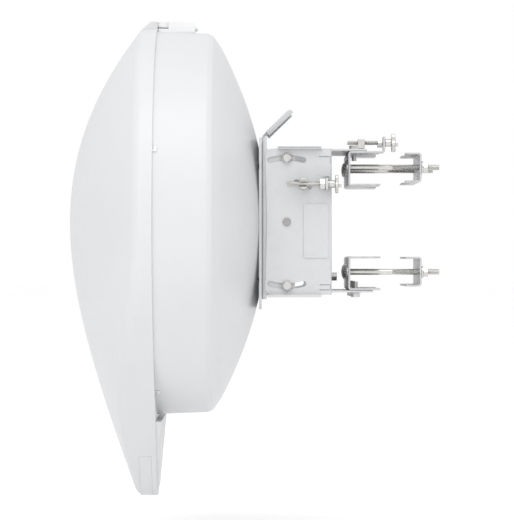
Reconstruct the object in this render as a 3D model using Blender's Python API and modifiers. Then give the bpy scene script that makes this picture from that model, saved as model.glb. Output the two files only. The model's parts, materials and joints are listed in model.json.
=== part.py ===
"""Point-to-point dish radio on its pole bracket, modelled as separate parts.

The origin is on the pole's axis, at the height of the dish's axis. +X runs from the dish
past the pole, +Y across and +Z up. Lengths below are in millimetres, and each shape is
turned into metres as it is made.
"""

import math

import bmesh
import bpy
from mathutils import Matrix, Vector

MM = 0.001
GAP = 0.3  # between pieces that touch

# Dish
RIM_X = -243.6  # plane where the radome meets the rear shell
RIM_RADIUS = 202.6
CHIN_RADIUS = 44.0
CHIN_BOTTOM = 285.6  # below the dish's axis
RADOME_DEPTH = 92.0
RADOME_WALL = 2.5
EDGE_ROUND = 6.5  # width of the radome's rounded edge
SHELL_RADIUS = 200.3
SHELL_REAR_RADIUS = 198.2
SHELL_WALL = 2.5
SHELL_REAR_X = -138.0  # flat boss behind the dish
BOSS_RADIUS = 78.0
REFLECTOR_RADIUS = 190.0
REFLECTOR_VERTEX_X = -160.0
FOCAL_LENGTH = 120.0
CLIP_ANGLES = (20.6, -59.5, 159.4, 239.5)

# Top latch
CATCH_X = -249.2  # bar in the radome's lug that the latch hooks over
CATCH_Z = 207.0
LATCH_X = -212.0  # the latch's hinge
LATCH_Z = 206.0

# Port cover in the chin
COVER_TOP_Z = -241.3
COVER_FRONT_X = -261.7
COVER_REAR_X = -249.0

# Elevation joint
SHEET = 2.0  # thickness of the bracket's steel
TILT_X = -109.5
LOCK_RADIUS = 65.5  # of the arc slots about the tilt axis
EAR_Y = 77.7  # inner face of the dish's ears
CHEEK_Y = 80.0  # inner face of the bracket's cheeks
REAR_PLATE_X = -137.7
REAR_PLATE_THICK = 2.5
EAR_FOOT_X = REAR_PLATE_X + REAR_PLATE_THICK + GAP
CHEEK_FRONT_X = -131.8
WEB_X = -63.6  # rear face of the bracket's web
SCREW_AT = 60.0  # rear plate screws, each side of both axes
HANDLE_TILT = math.radians(44)
HANDLE_LENGTH = 39.5

# Elevation screw
SCREW_Y = -92.0
SCREW_Z = 38.5
TRUNNION_X = -92.7
TRUNNION_Z = SCREW_Z + 0.4
TRUNNION_NECK = 1.8
BUSH_X = -68.9  # middle of the tab that the screw's bush swings in

# Azimuth joint
PIVOT_X = -38.2
UPPER_ARM_Z = 72.9
LOWER_ARM_Z = -72.1
ARM_HALF_WIDTH = 79.0
LOCK_BOLT_X = -38.8
LOCK_BOLT_Y = 66.0
POST_X = -33.1
POST_Y = -70.0
FINE_SCREW_Z = 81.3

# Pole clamps
CLAMP_WEB_X = -46.5
CLAMP_TIP_X = -13.8
CLAMP_HALF_WIDTH = 80.0
CLAMP_BEND = 1.8
JAW_WEB_X = 29.3
JAW_TIP_X = 13.0
JAW_HALF_WIDTH = 64.0
BOLT_Y = 55.0
UPPER_BOLT_Z = 56.6
LOWER_BOLT_Z = -51.2
BOLT_RADIUS = 3.0

XZ_PLANE = (math.pi / 2, 0, 0)
YZ_PLANE = (math.pi / 2, 0, math.pi / 2)
XY_PLANE = (0, 0, 0)

LOOKS = {
    "white_plastic": ((0.86, 0.87, 0.88), 0.45, 0.0),
    "white_paint": ((0.78, 0.79, 0.80), 0.42, 0.0),
    "galvanised": ((0.55, 0.56, 0.58), 0.38, 0.8),
    "stainless": ((0.62, 0.61, 0.58), 0.25, 1.0),
    "aluminium": ((0.72, 0.73, 0.74), 0.32, 1.0),
    "rubber": ((0.05, 0.05, 0.05), 0.8, 0.0),
    "board": ((0.03, 0.18, 0.08), 0.5, 0.0),
}


# ---------------------------------------------------------------- scene and helpers

def new_collection(name):
    collection = bpy.data.collections.new(name)
    bpy.context.scene.collection.children.link(collection)
    return collection


def clear_scene():
    for obj in list(bpy.data.objects):
        bpy.data.objects.remove(obj, do_unlink=True)


clear_scene()
PARTS = new_collection("dish_radio")
CUTTERS = new_collection("cutters")


def look(name):
    """The named material, made the first time it is asked for."""
    found = bpy.data.materials.get(name)
    if found:
        return found
    colour, roughness, metallic = LOOKS[name]
    material = bpy.data.materials.new(name)
    material.use_nodes = True
    shader = material.node_tree.nodes["Principled BSDF"]
    shader.inputs["Base Color"].default_value = (*colour, 1)
    shader.inputs["Roughness"].default_value = roughness
    shader.inputs["Metallic"].default_value = metallic
    return material


def place(obj, finish, cutter=False):
    """Links the object among the parts or the cutters, and gives it its material."""
    if cutter:
        CUTTERS.objects.link(obj)
        obj.hide_render = True
        obj.display_type = "WIRE"
        return obj
    PARTS.objects.link(obj)
    obj.data.materials.append(look(finish))
    return obj


def mesh_object(name, shape, finish, cutter=False):
    mesh = bpy.data.meshes.new(name)
    shape.to_mesh(mesh)
    shape.free()
    return place(bpy.data.objects.new(name, mesh), finish, cutter)


def box(name, low, high, finish="white_plastic", cutter=False):
    low, high = Vector(low), Vector(high)
    shape = bmesh.new()
    bmesh.ops.create_cube(shape, size=1)
    bmesh.ops.scale(shape, vec=(high - low) * MM, verts=shape.verts)
    bmesh.ops.translate(shape, vec=(high + low) * MM / 2, verts=shape.verts)
    return mesh_object(name, shape, finish, cutter)


def plate(name, loops, plane, start, thickness, finish, cutter=False):
    """A flat outline, with any holes as further loops, from start along the plane's normal."""
    curve = bpy.data.curves.new(name, "CURVE")
    curve.dimensions = "2D"
    curve.fill_mode = "BOTH"
    curve.extrude = thickness * MM / 2
    for loop in loops:
        spline = curve.splines.new("POLY")
        spline.points.add(len(loop) - 1)
        spline.use_cyclic_u = True
        for point, (u, v) in zip(spline.points, loop):
            point.co = (u * MM, v * MM, 0, 1)
    obj = bpy.data.objects.new(name, curve)
    obj.rotation_euler = plane
    middle = (start + thickness / 2) * MM
    normal = {XY_PLANE: (0, 0, 1), XZ_PLANE: (0, 1, 0), YZ_PLANE: (1, 0, 0)}[plane]
    obj.location = Vector(normal) * middle
    return place(obj, finish, cutter)


def as_mesh(obj):
    """The same shape as a mesh, so that it can be cut, joined or be a cutter."""
    bpy.context.view_layer.update()
    graph = bpy.context.evaluated_depsgraph_get()
    mesh = bpy.data.meshes.new_from_object(obj.evaluated_get(graph))
    mesh.transform(obj.matrix_world)
    shape = bmesh.new()
    shape.from_mesh(mesh)
    bmesh.ops.remove_doubles(shape, verts=shape.verts, dist=0.000005)
    bmesh.ops.recalc_face_normals(shape, faces=shape.faces)
    shape.to_mesh(mesh)
    shape.free()
    name = obj.name
    cutter = obj.name in CUTTERS.objects
    finish = obj.data.materials[0].name if obj.data.materials else ""
    bpy.data.objects.remove(obj, do_unlink=True)
    mesh.materials.clear()
    return place(bpy.data.objects.new(name, mesh), finish, cutter)


def combine(target, other, operation):
    modifier = target.modifiers.new(operation.lower() + "_" + other.name, "BOOLEAN")
    modifier.operation = operation
    modifier.object = other
    modifier.solver = "EXACT"


def cut(target, cutter):
    combine(target, cutter, "DIFFERENCE")


def join(target, other):
    combine(target, other, "UNION")


def section_radius(radius, shape, turn):
    """Distance from a rod's axis to its surface: a hexagon's radius is to its corners."""
    if shape == "round":
        return radius
    sixth = math.radians(60)
    return radius * math.cos(sixth / 2) / math.cos(turn % sixth - sixth / 2)


def rod(name, start, direction, stations, finish, bore=0.0, sides=12, cutter=False):
    """A straight turned or hexagonal piece. Stations are (distance, radius, shape)."""
    shape = bmesh.new()
    turns = [2 * math.pi * i / sides for i in range(sides)]

    def ring(distance, radius, kind):
        corners = []
        for turn in turns:
            reach = section_radius(radius, kind, turn)
            corner = Vector((reach * math.cos(turn), reach * math.sin(turn), distance))
            corners.append(shape.verts.new(corner * MM))
        return corners

    rings = [ring(*station) for station in stations]
    if bore:
        first, last = stations[0][0], stations[-1][0]
        rings = [ring(first, bore, "round"), *rings, ring(last, bore, "round")]
        rings.append(rings[0])
    for below, above in zip(rings, rings[1:]):
        for i in range(sides):
            j = (i + 1) % sides
            shape.faces.new((below[i], below[j], above[j], above[i]))
    if not bore:
        shape.faces.new(reversed(rings[0]))
        shape.faces.new(rings[-1])
    turned = Vector(direction).to_track_quat("Z", "Y").to_matrix().to_4x4()
    bmesh.ops.transform(shape, matrix=turned, verts=shape.verts)
    bmesh.ops.translate(shape, vec=Vector(start) * MM, verts=shape.verts)
    obj = mesh_object(name, shape, finish, cutter)
    obj.data.shade_smooth()
    obj.data.set_sharp_from_angle(angle=math.radians(35))
    return obj


def turned_shell(name, profile, wall, steps, finish):
    """A shell about the X axis from (x, radius) points on its outside, front to back."""
    shape = bmesh.new()
    verts = [shape.verts.new((radius * MM, 0, -x * MM)) for x, radius in profile]
    for pair in zip(verts, verts[1:]):
        shape.edges.new(pair)
    obj = mesh_object(name, shape, finish)
    obj.rotation_euler = (0, -math.pi / 2, 0)
    screw = obj.modifiers.new("turn", "SCREW")
    screw.steps = steps
    screw.render_steps = steps
    screw.use_merge_vertices = True
    screw.merge_threshold = 0.00001
    solid = obj.modifiers.new("wall", "SOLIDIFY")
    solid.thickness = wall * MM
    solid.offset = -1
    solid.use_even_offset = True
    return obj


def arc(centre, radius, first, last, steps):
    """Points on a circle from one angle to another, in degrees."""
    points = []
    for i in range(steps + 1):
        turn = math.radians(first + (last - first) * i / steps)
        points.append((centre[0] + radius * math.cos(turn), centre[1] + radius * math.sin(turn)))
    return points


def circle(centre, radius, sides=16):
    return arc(centre, radius, 0, 360 - 360 / sides, sides - 1)


def arc_slot(centre, radius, middle, reach, half_width):
    """A slot that follows a circle, reach degrees each way from its middle."""
    outer = arc(centre, radius + half_width, middle - reach, middle + reach, 8)
    inner = arc(centre, radius - half_width, middle + reach, middle - reach, 8)
    far = arc(arc(centre, radius, middle + reach, middle + reach, 1)[0], half_width,
              middle + reach, middle + reach + 180, 6)[1:-1]
    near = arc(arc(centre, radius, middle - reach, middle - reach, 1)[0], half_width,
               middle - reach + 180, middle - reach + 360, 6)[1:-1]
    return outer + far + inner + near


def rounded(corners):
    """An outline from (u, v, radius) corners."""
    points = []
    count = len(corners)
    for i, (u, v, radius) in enumerate(corners):
        here = Vector((u, v))
        if not radius:
            points.append((u, v))
            continue
        back = (Vector(corners[i - 1][:2]) - here).normalized()
        ahead = (Vector(corners[(i + 1) % count][:2]) - here).normalized()
        half = back.angle(ahead) / 2
        centre = here + (back + ahead).normalized() * radius / math.sin(half)
        start = here + back * radius / math.tan(half) - centre
        end = here + ahead * radius / math.tan(half) - centre
        swing = start.angle_signed(end)
        for step in range(5):
            turn = -swing * step / 4
            swung = Matrix.Rotation(turn, 2) @ start
            points.append(tuple(centre + swung))
    return points


def folded(path, thickness, bend):
    """The outline of a folded strip, from the (u, v) corners of its middle line."""
    line = rounded([(u, v, bend if 0 < i < len(path) - 1 else 0)
                    for i, (u, v) in enumerate(path)])
    sides = ([], [])
    for i, point in enumerate(line):
        before = Vector(line[max(i - 1, 0)])
        after = Vector(line[min(i + 1, len(line) - 1)])
        along = (after - before).normalized()
        across = Vector((-along.y, along.x)) * thickness / 2
        sides[0].append(tuple(Vector(point) + across))
        sides[1].append(tuple(Vector(point) - across))
    return sides[0] + sides[1][::-1]


def axis(name, location, parent=None):
    """An empty on a joint's axis, which the joint's pieces hang on."""
    empty = bpy.data.objects.new(name, None)
    empty.empty_display_size = 0.02
    PARTS.objects.link(empty)
    empty.location = Vector(location) * MM
    bpy.context.view_layer.update()
    if parent:
        hang(parent, empty)
    return empty


def hang(parent, *pieces):
    bpy.context.view_layer.update()
    for piece in pieces:
        piece.parent = parent
        piece.matrix_parent_inverse = parent.matrix_world.inverted()


# ---------------------------------------------------------------- radome's outline

CHIN_CENTRE = CHIN_BOTTOM - CHIN_RADIUS
TANGENT = math.acos((RIM_RADIUS - CHIN_RADIUS) / CHIN_CENTRE)
CHIN_TURN = math.atan2(CHIN_RADIUS * math.sin(TANGENT),
                       CHIN_CENTRE + CHIN_RADIUS * math.cos(TANGENT))


def rim_distance(turn, inset=0.0):
    """From the dish's axis to the teardrop rim, at an angle from straight down."""
    turn = abs(turn)
    if turn >= TANGENT:
        return RIM_RADIUS - inset
    if turn >= CHIN_TURN:
        return (RIM_RADIUS - inset) / math.cos(TANGENT - turn)
    radius = CHIN_RADIUS - inset
    return CHIN_CENTRE * math.cos(turn) + math.sqrt(
        radius ** 2 - (CHIN_CENTRE * math.sin(turn)) ** 2)


def rim_point(turn, inset=0.0):
    reach = rim_distance(turn, inset)
    return reach * math.sin(turn), -reach * math.cos(turn)


def depth(reach, turn):
    """The radome's depth in front of the rim plane: a bowl above, a long slope to the chin."""
    bowl = 19.7 * (reach / 108.0) ** 2.14
    slope = math.hypot(61.5, 0.412 * reach) - 61.5
    down = max(math.cos(turn), 0.0) ** 2
    return RADOME_DEPTH - down * slope - (1 - down) * bowl


def turns_between(first, last, steps):
    return [first + (last - first) * i / steps for i in range(steps)]


def radome_turns():
    """Angles round the rim, closer together on the chin."""
    right = (turns_between(0, CHIN_TURN, 4) + turns_between(CHIN_TURN, TANGENT, 7)
             + turns_between(TANGENT, math.pi, 22))
    left = [2 * math.pi - turn for turn in reversed(right[1:])]
    return right + [math.pi] + left


# ---------------------------------------------------------------- dish

def radome_skin():
    """The open outer surface: rings from the centre to the rounded edge and the rim."""
    shape = bmesh.new()
    turns = radome_turns()
    centre = shape.verts.new(((RIM_X - RADOME_DEPTH) * MM, 0, 0))
    rings = []

    def add_ring(place_at):
        ring = []
        for turn in turns:
            signed = turn if turn <= math.pi else turn - 2 * math.pi
            reach, forward = place_at(signed)
            corner = (RIM_X - forward, reach * math.sin(signed), -reach * math.cos(signed))
            ring.append(shape.verts.new(Vector(corner) * MM))
        rings.append(ring)

    for share in (0.14, 0.34, 0.54, 0.72, 0.87, 1.0):
        def on_front(turn, share=share):
            reach = share * (rim_distance(turn) - EDGE_ROUND)
            return reach, depth(reach, turn)
        add_ring(on_front)
    for inset, lower in ((3.0, 3.4), (0.8, 6.8), (0.0, 11.0)):
        def on_edge(turn, inset=inset, lower=lower):
            edge = rim_distance(turn) - EDGE_ROUND
            return rim_distance(turn) - inset, depth(edge, turn) - lower
        add_ring(on_edge)
    add_ring(lambda turn: (rim_distance(turn), 0.0))

    count = len(turns)
    for i in range(count):
        shape.faces.new((centre, rings[0][i], rings[0][(i + 1) % count]))
    for inner, outer in zip(rings, rings[1:]):
        for i in range(count):
            j = (i + 1) % count
            shape.faces.new((inner[i], outer[i], outer[j], inner[j]))
    bmesh.ops.recalc_face_normals(shape, faces=shape.faces)
    return shape


def radome():
    obj = mesh_object("radome", radome_skin(), "white_plastic")
    solid = obj.modifiers.new("wall", "SOLIDIFY")
    solid.thickness = RADOME_WALL * MM
    solid.offset = -1
    solid.use_even_offset = True
    tab = [(RIM_X - 0.3, 210.9), (RIM_X - 6.5, 210.9), (RIM_X - 8.5, 210.3),
           (RIM_X - 16.4, 202.7), (RIM_X - 22.5, 194.9), (RIM_X - 21.3, 194.6),
           (RIM_X - 17.9, 197.9), (RIM_X - 14.5, 200.2), (RIM_X - 10, 201.2),
           (RIM_X - 0.3, 201.2)]
    lug = as_mesh(plate("radome_lug", [tab], XZ_PLANE, -14, 28, "white_plastic", True))
    join(obj, lug)
    cut(obj, box("lug_pocket", (-250.6, -9.3, 204.5), (-240, 9.3, 215), cutter=True))
    join(obj, rod("catch_bar", (CATCH_X, -12, CATCH_Z), (0, 1, 0),
                  [(0, 1.2, "round"), (24, 1.2, "round")], "", cutter=True))
    cut(obj, box("port_cover_gap", (COVER_FRONT_X - GAP, -100, -300),
                 (COVER_REAR_X + GAP, 100, COVER_TOP_Z + GAP), cutter=True))
    return obj


def radome_gasket():
    return rod("radome_gasket", (RIM_X - 3, 0, 0), (1, 0, 0),
               [(0, 199.3, "round"), (2.9, 199.3, "round")], "rubber", bore=196.6, sides=48)


def rear_shell():
    """A drum that runs into a bowl, with a flat boss for the rear plate."""
    profile = [(RIM_X + GAP, SHELL_RADIUS), (-190.5, SHELL_REAR_RADIUS),
               (-187.6, 197.4), (-185.2, 195.2)]
    for radius in (184, 164, 140, 112, BOSS_RADIUS + 4):
        profile.append((-129.2 - 0.00143 * radius ** 2, radius))
    profile += [(SHELL_REAR_X, BOSS_RADIUS), (SHELL_REAR_X, 0)]
    obj = turned_shell("rear_shell", profile, SHELL_WALL, 56, "white_plastic")
    for i, (y, z) in enumerate(plate_screws()):
        cut(obj, rod(f"shell_hole_{i + 1}", (-150, y, z), (1, 0, 0),
                     [(0, 2.6, "round"), (20, 2.6, "round")], "", cutter=True))
    return obj


def reflector():
    profile = [(REFLECTOR_VERTEX_X - 76.5, REFLECTOR_RADIUS + 5)]
    for radius in (REFLECTOR_RADIUS, 150, 105, 60, 8.6):
        profile.append((REFLECTOR_VERTEX_X - radius ** 2 / (4 * FOCAL_LENGTH), radius))
    return turned_shell("reflector", profile, 1.2, 36, "aluminium")


def feed():
    tube = rod("feed_tube", (-262, 0, 0), (1, 0, 0),
               [(0, 8, "round"), (97.2, 8, "round"), (97.2, 14, "round"),
                (99.4, 14, "round"), (99.4, 8, "round"), (103.2, 8, "round")],
               "aluminium", sides=16)
    cap = rod("sub_reflector", (-275, 0, 0), (1, 0, 0),
              [(0, 6, "round"), (3, 20, "round"), (7, 20, "round"), (12.7, 8, "round")],
              "white_plastic", sides=24)
    return tube, cap


def radio():
    housing = box("radio_housing", (-158.5, -58, -58), (-143, 58, 58), "aluminium")
    cut(housing, box("housing_pocket", (-155.5, -55, -55), (-140, 55, 55), cutter=True))
    board = box("main_board", (-150, -54, -54), (-148.4, 54, 54), "board")
    return housing, board


def chin_loop(inset, inner_radius):
    """The chin's region between the rim and a circle about the dish's axis."""
    horn = TANGENT - math.acos((RIM_RADIUS - inset) / inner_radius)
    steps = (turns_between(-horn, -CHIN_TURN, 3) + turns_between(-CHIN_TURN, CHIN_TURN, 10)
             + turns_between(CHIN_TURN, horn, 3) + [horn])
    rim = [rim_point(turn, inset) for turn in steps]
    first = -90 + math.degrees(horn)
    last = -90 - math.degrees(horn)
    return rim + arc((0, 0), inner_radius, first, last, 14)[1:-1]


def chin_plate():
    return plate("chin_plate", [chin_loop(3.0, 200.4)], YZ_PLANE, RIM_X - 2.1, 2.0,
                 "white_plastic")


def chin_cover():
    """A wedge behind the chin, thick at its straight top edge."""
    top, bottom = -203.8, -277.0
    thick, thin = 5.7, 0.8
    inset = 1.0
    edge = math.atan2((RIM_RADIUS - inset + top * math.cos(TANGENT)) / math.sin(TANGENT), -top)
    turns = (turns_between(-edge, -CHIN_TURN, 3) + turns_between(-CHIN_TURN, CHIN_TURN, 10)
             + turns_between(CHIN_TURN, edge, 3) + [edge])
    loop = []
    for turn in turns:
        y, z = rim_point(turn, inset)
        loop.append((y, max(z, bottom)))
    obj = as_mesh(plate("chin_cover", [loop], YZ_PLANE, RIM_X + GAP, thick, "white_plastic"))
    for vert in obj.data.vertices:
        if vert.co.x > (RIM_X + GAP + thick / 2) * MM:
            share = (vert.co.z / MM - bottom) / (top - bottom)
            vert.co.x = (RIM_X + GAP + thin + (thick - thin) * share) * MM
    return obj


def port_cover():
    """A U that closes the cable opening round the foot of the chin."""
    edge = math.atan2((RIM_RADIUS + COVER_TOP_Z * math.cos(TANGENT)) / math.sin(TANGENT),
                      -COVER_TOP_Z)
    turns = (turns_between(-edge, -CHIN_TURN, 3) + turns_between(-CHIN_TURN, CHIN_TURN, 12)
             + turns_between(CHIN_TURN, edge, 3) + [edge])
    outer = [(y, min(z, COVER_TOP_Z)) for y, z in (rim_point(turn) for turn in turns)]
    inner = [(y, min(z, COVER_TOP_Z)) for y, z in (rim_point(turn, 2.2) for turn in turns)]
    width = COVER_REAR_X - COVER_FRONT_X
    return plate("port_cover", [outer + inner[::-1]], YZ_PLANE, COVER_FRONT_X, width,
                 "white_plastic")


def ports():
    """Two sockets that open downwards, with their mouths above the port cover."""
    found = []
    for name, y, half, long, mouth in (("ethernet_port", -14, 8.0, 21, 6.0),
                                       ("fibre_port", 14, 7.0, 28, 5.2)):
        low = -253.0
        block = box(name, (-261, y - half, low), (-246.5, y + half, low + long), "aluminium")
        cut(block, box(name + "_mouth", (-258.5, y - mouth, low - 5), (-249, y + mouth, low + 15),
                       cutter=True))
        found.append(block)
    return found


def rim_clips():
    """Clips on the shell's edge, at four places round the rim."""
    clips = []
    for i, angle in enumerate(CLIP_ANGLES):
        clip = box(f"rim_clip_{i + 1}", (RIM_X + 2 * GAP, SHELL_RADIUS + GAP, -2.5),
                   (RIM_X + 4.5, SHELL_RADIUS + 1.7, 2.5), "white_paint")
        clip.rotation_euler = (math.radians(angle), 0, 0)
        clips.append(clip)
    return clips


def top_latch():
    """A lever in a housing on the shell, hooked over the bar in the radome's lug."""
    side = rounded([(-242.6, 200.9, 0), (-204.8, 200.9, 1), (-204.8, 210.9, 4),
                    (-232.5, 210.9, 0.6), (-232.5, 203.0, 0), (-242.6, 203.0, 0)])
    pin_hole = circle((LATCH_X, LATCH_Z), 1.8, 12)
    housing = as_mesh(plate("latch_housing", [side, pin_hole], XZ_PLANE, -14, 28,
                            "white_plastic"))
    cut(housing, box("housing_slot", (-250, -9.3, 202.2), (-208, 9.3, 215), cutter=True))
    join(housing, rod("housing_stud", (-206, 0, 203.4), (1, 0, 0),
                      [(0, 2.4, "round"), (3.7, 2.4, "round"), (4.3, 1.6, "round")], "",
                      cutter=True))
    hook = [(-250.3, 208.6), (CATCH_X + 1.6, 208.6), (CATCH_X + 1.6, 205.0), (-214, 203.4)]
    heel = arc((LATCH_X, LATCH_Z), 2.9, -110, 60, 6)
    lever = plate("latch", [hook + heel + [(-216, 210.4), (-250.3, 210.4)], pin_hole],
                  XZ_PLANE, -9, 18, "white_paint")
    pin = rod("latch_pin", (LATCH_X, -12.5, LATCH_Z), (0, 1, 0),
              [(0, 1.5, "round"), (25, 1.5, "round")], "stainless")
    return lever, [housing, pin]


def plate_screws():
    return [(side * SCREW_AT, up * SCREW_AT) for side in (-1, 1) for up in (1, -1)]


def rear_plate():
    edge = rounded([(-79.5, -89.5, 10), (79.5, -89.5, 10), (79.5, 87, 10), (-79.5, 87, 10)])
    holes = [circle(at, 2.6, 12) for at in plate_screws()]
    obj = plate("rear_plate", [edge, *holes], YZ_PLANE, REAR_PLATE_X, REAR_PLATE_THICK,
                "white_paint")
    screws = []
    for i, (y, z) in enumerate(plate_screws()):
        screws.append(rod(f"rear_plate_screw_{i + 1}", (-142.6, y, z), (1, 0, 0),
                          [(0, 2.2, "round"), (10.0, 2.2, "round"), (10.0, 4.6, "round"),
                           (12.1, 4.2, "round"), (12.9, 2.6, "round")], "stainless"))
    return [obj, *screws]


def tilt_ear(side):
    """An angle plate on the rear plate: its ear holds the tilt pivot and the lock bolts."""
    name = "tilt_ear_near" if side < 0 else "tilt_ear_far"
    outer = side * (EAR_Y + SHEET)
    foot_loop = [(side * 44, -79), (outer, -79), (outer, 87), (side * 44, 87)]
    if side < 0:
        foot_loop.reverse()
    holes = [circle((side * SCREW_AT, up * SCREW_AT), 2.6, 12) for up in (1, -1)]
    foot = as_mesh(plate(name, [foot_loop, *holes], YZ_PLANE, EAR_FOOT_X, SHEET, "white_paint"))
    lobe = TILT_X + 8.5
    edge = [(EAR_FOOT_X, -74, 0), (lobe, -74, 8)]
    if side < 0:
        edge += [(lobe, 26, 8), (TRUNNION_X + 7, 30, 7), (TRUNNION_X + 7, 47, 7),
                 (lobe, 50, 6)]
    edge += [(lobe, 74, 8), (EAR_FOOT_X, 74, 0)]
    ear_holes = [circle((TILT_X, 0), 3.3), circle((TILT_X, LOCK_RADIUS), 2.8),
                 circle((TILT_X, -LOCK_RADIUS), 2.8)]
    if side < 0:
        ear_holes.append(circle((TRUNNION_X, TRUNNION_Z), TRUNNION_NECK + GAP))
    low = min(side * EAR_Y, outer)
    ear = as_mesh(plate(name + "_ear", [rounded(edge), *ear_holes], XZ_PLANE, low, SHEET,
                        "white_paint", True))
    join(foot, ear)
    return foot


def lock_bolts():
    """Bolts held in the ears, which slide in the cheeks' arc slots."""
    bolts = []
    for i, (side, up) in enumerate(((-1, 1), (-1, -1), (1, 1), (1, -1))):
        bolts.append(rod(f"elevation_lock_bolt_{i + 1}",
                         (TILT_X, side * 73.5, up * LOCK_RADIUS), (0, side, 0),
                         [(0, 2.5, "round"), (0.6, 2.5, "round"), (0.6, 4.6, "hex"),
                          (3.9, 4.6, "hex"), (3.9, 2.5, "round"), (8.8, 2.5, "round"),
                          (8.8, 5.35, "round"), (9.9, 5.35, "round"), (9.9, 4.6, "hex"),
                          (13.1, 4.6, "hex")], "stainless"))
    return bolts


def aiming_handle():
    """A bent tab above the rear plate, with a lip down each side."""
    along = Vector((math.cos(HANDLE_TILT), 0, math.sin(HANDLE_TILT)))
    normal = Vector((-math.sin(HANDLE_TILT), 0, math.cos(HANDLE_TILT)))
    bend = Vector((EAR_FOOT_X + 1, 0, 90))
    end = bend + along * (HANDLE_LENGTH - 3)
    path = [(bend.x, 60), (bend.x, bend.z), (end.x, end.z)]
    foot = as_mesh(plate("aiming_handle", [folded(path, 1.6, 4)], XZ_PLANE, -20, 40,
                         "white_paint"))
    lips = folded([(-39, -4.5), (-39, 0), (39, 0), (39, -4.5)], 2.0, 2)
    wide = as_mesh(plate("handle_lips", [lips], XY_PLANE, 5, HANDLE_LENGTH - 5,
                         "white_paint", True))
    turned = Matrix((Vector((0, 1, 0)), normal, along)).transposed().to_4x4()
    wide.matrix_world = Matrix.Translation(bend * MM) @ turned
    join(foot, wide)
    return foot


def trunnion():
    """A fork that swivels in the near ear, with the screw in its open groove."""
    half_width, half_height, near_end, back = 4.2, 5.8, -97.5, -83.0
    edge = rounded([(TRUNNION_X + across * half_width, TRUNNION_Z + up * half_height, 3.8)
                    for across, up in ((-1, -1), (1, -1), (1, 1), (-1, 1))])
    obj = as_mesh(plate("trunnion", [edge], XZ_PLANE, near_end, back - near_end, "stainless"))
    join(obj, rod("trunnion_neck", (TRUNNION_X, back - 1, TRUNNION_Z), (0, 1, 0),
                  [(0, TRUNNION_NECK, "round"), (6.6, TRUNNION_NECK, "round"),
                   (6.6, 4.0, "round"), (8.6, 4.0, "round")], "", sides=16, cutter=True))
    cut(obj, box("trunnion_groove", (TRUNNION_X - 20, near_end - 1, TRUNNION_Z - 3.25),
                 (TRUNNION_X + 20, SCREW_Y + 3, TRUNNION_Z + 3.95), cutter=True))
    return obj


# ---------------------------------------------------------------- azimuth bracket

def web_and_arms():
    """A folded C: the web between the cheeks, and an arm above and below the clamps."""
    half = SHEET / 2
    path = [(-27.4, UPPER_ARM_Z + half), (WEB_X - half, UPPER_ARM_Z + half),
            (WEB_X - half, LOWER_ARM_Z + half), (-21, LOWER_ARM_Z + half)]
    obj = as_mesh(plate("azimuth_bracket", [folded(path, SHEET, 3)], XZ_PLANE,
                        -ARM_HALF_WIDTH, 2 * ARM_HALF_WIDTH, "white_paint"))
    cut(obj, notch("arm_notch", -21, -31.5, 34, LOWER_ARM_Z - 5, UPPER_ARM_Z + 5))
    up = [(0, 2.8, "round"), (12, 2.8, "round")]
    cut(obj, rod("pivot_hole_upper", (PIVOT_X, 0, UPPER_ARM_Z - 5), (0, 0, 1), up, "",
                 cutter=True))
    cut(obj, rod("pivot_hole_lower", (PIVOT_X, 0, LOWER_ARM_Z - 5), (0, 0, 1), up, "",
                 cutter=True))
    cut(obj, rod("post_hole", (POST_X, POST_Y, UPPER_ARM_Z - 5), (0, 0, 1), up, "",
                 cutter=True))
    cut(obj, rod("web_bolt_hole", (WEB_X - 6, 0, -56.2), (1, 0, 0), up, "", cutter=True))
    reach = math.hypot(PIVOT_X - LOCK_BOLT_X, LOCK_BOLT_Y)
    lean = math.degrees(math.atan2(PIVOT_X - LOCK_BOLT_X, LOCK_BOLT_Y))
    for side in (-1, 1):
        middle = side * (90 + lean)
        slot = arc_slot((PIVOT_X, 0), reach, middle, 7.3, 2.9)
        cut(obj, as_mesh(plate(f"azimuth_slot_{side}", [slot], XY_PLANE, LOWER_ARM_Z - 5, 12,
                               "white_paint", True)))
    return obj


def cheek(side):
    """A side plate of the bracket: tilt pivot, two arc slots, and a front edge that clears
    the bowl."""
    name = "cheek_near" if side < 0 else "cheek_far"
    edge = rounded([(CHEEK_FRONT_X, -74.5, 7), (WEB_X, -74.5, 1.5), (WEB_X, 75.1, 1.5),
                    (CHEEK_FRONT_X, 75.1, 7), (CHEEK_FRONT_X + 2, 0, 600)])
    centre = (TILT_X, 0)
    holes = [circle(centre, 3.3),
             arc_slot(centre, LOCK_RADIUS, 90, 15, 2.9),
             arc_slot(centre, LOCK_RADIUS, -90, 15, 2.9)]
    if side < 0:
        lean = math.degrees(math.atan2(TRUNNION_Z, TRUNNION_X - TILT_X))
        reach = math.hypot(TRUNNION_Z, TRUNNION_X - TILT_X)
        holes.append(arc_slot(centre, reach, lean, 10.4, TRUNNION_NECK + GAP))
        holes.append([(-72.3, SCREW_Z + 6.9), (-66, SCREW_Z + 6.9), (-66, SCREW_Z + 8),
                      (-72.3, SCREW_Z + 8)])
    low = min(side * CHEEK_Y, side * (CHEEK_Y + SHEET))
    obj = plate(name, [edge, *holes], XZ_PLANE, low, SHEET, "white_paint")
    if side > 0:
        return obj
    obj = as_mesh(obj)
    tab_edge = rounded([(-99.5, SCREW_Z - 6.2, 3.5), (-CHEEK_Y - 0.1, SCREW_Z - 6.2, 0),
                        (-CHEEK_Y - 0.1, SCREW_Z + 6.2, 0), (-99.5, SCREW_Z + 6.2, 3.5)])
    tab = as_mesh(plate("screw_tab", [tab_edge, circle((SCREW_Y, SCREW_Z), 3.7)], YZ_PLANE,
                        BUSH_X - SHEET / 2, SHEET, "white_paint", True))
    join(obj, tab)
    return obj


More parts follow.
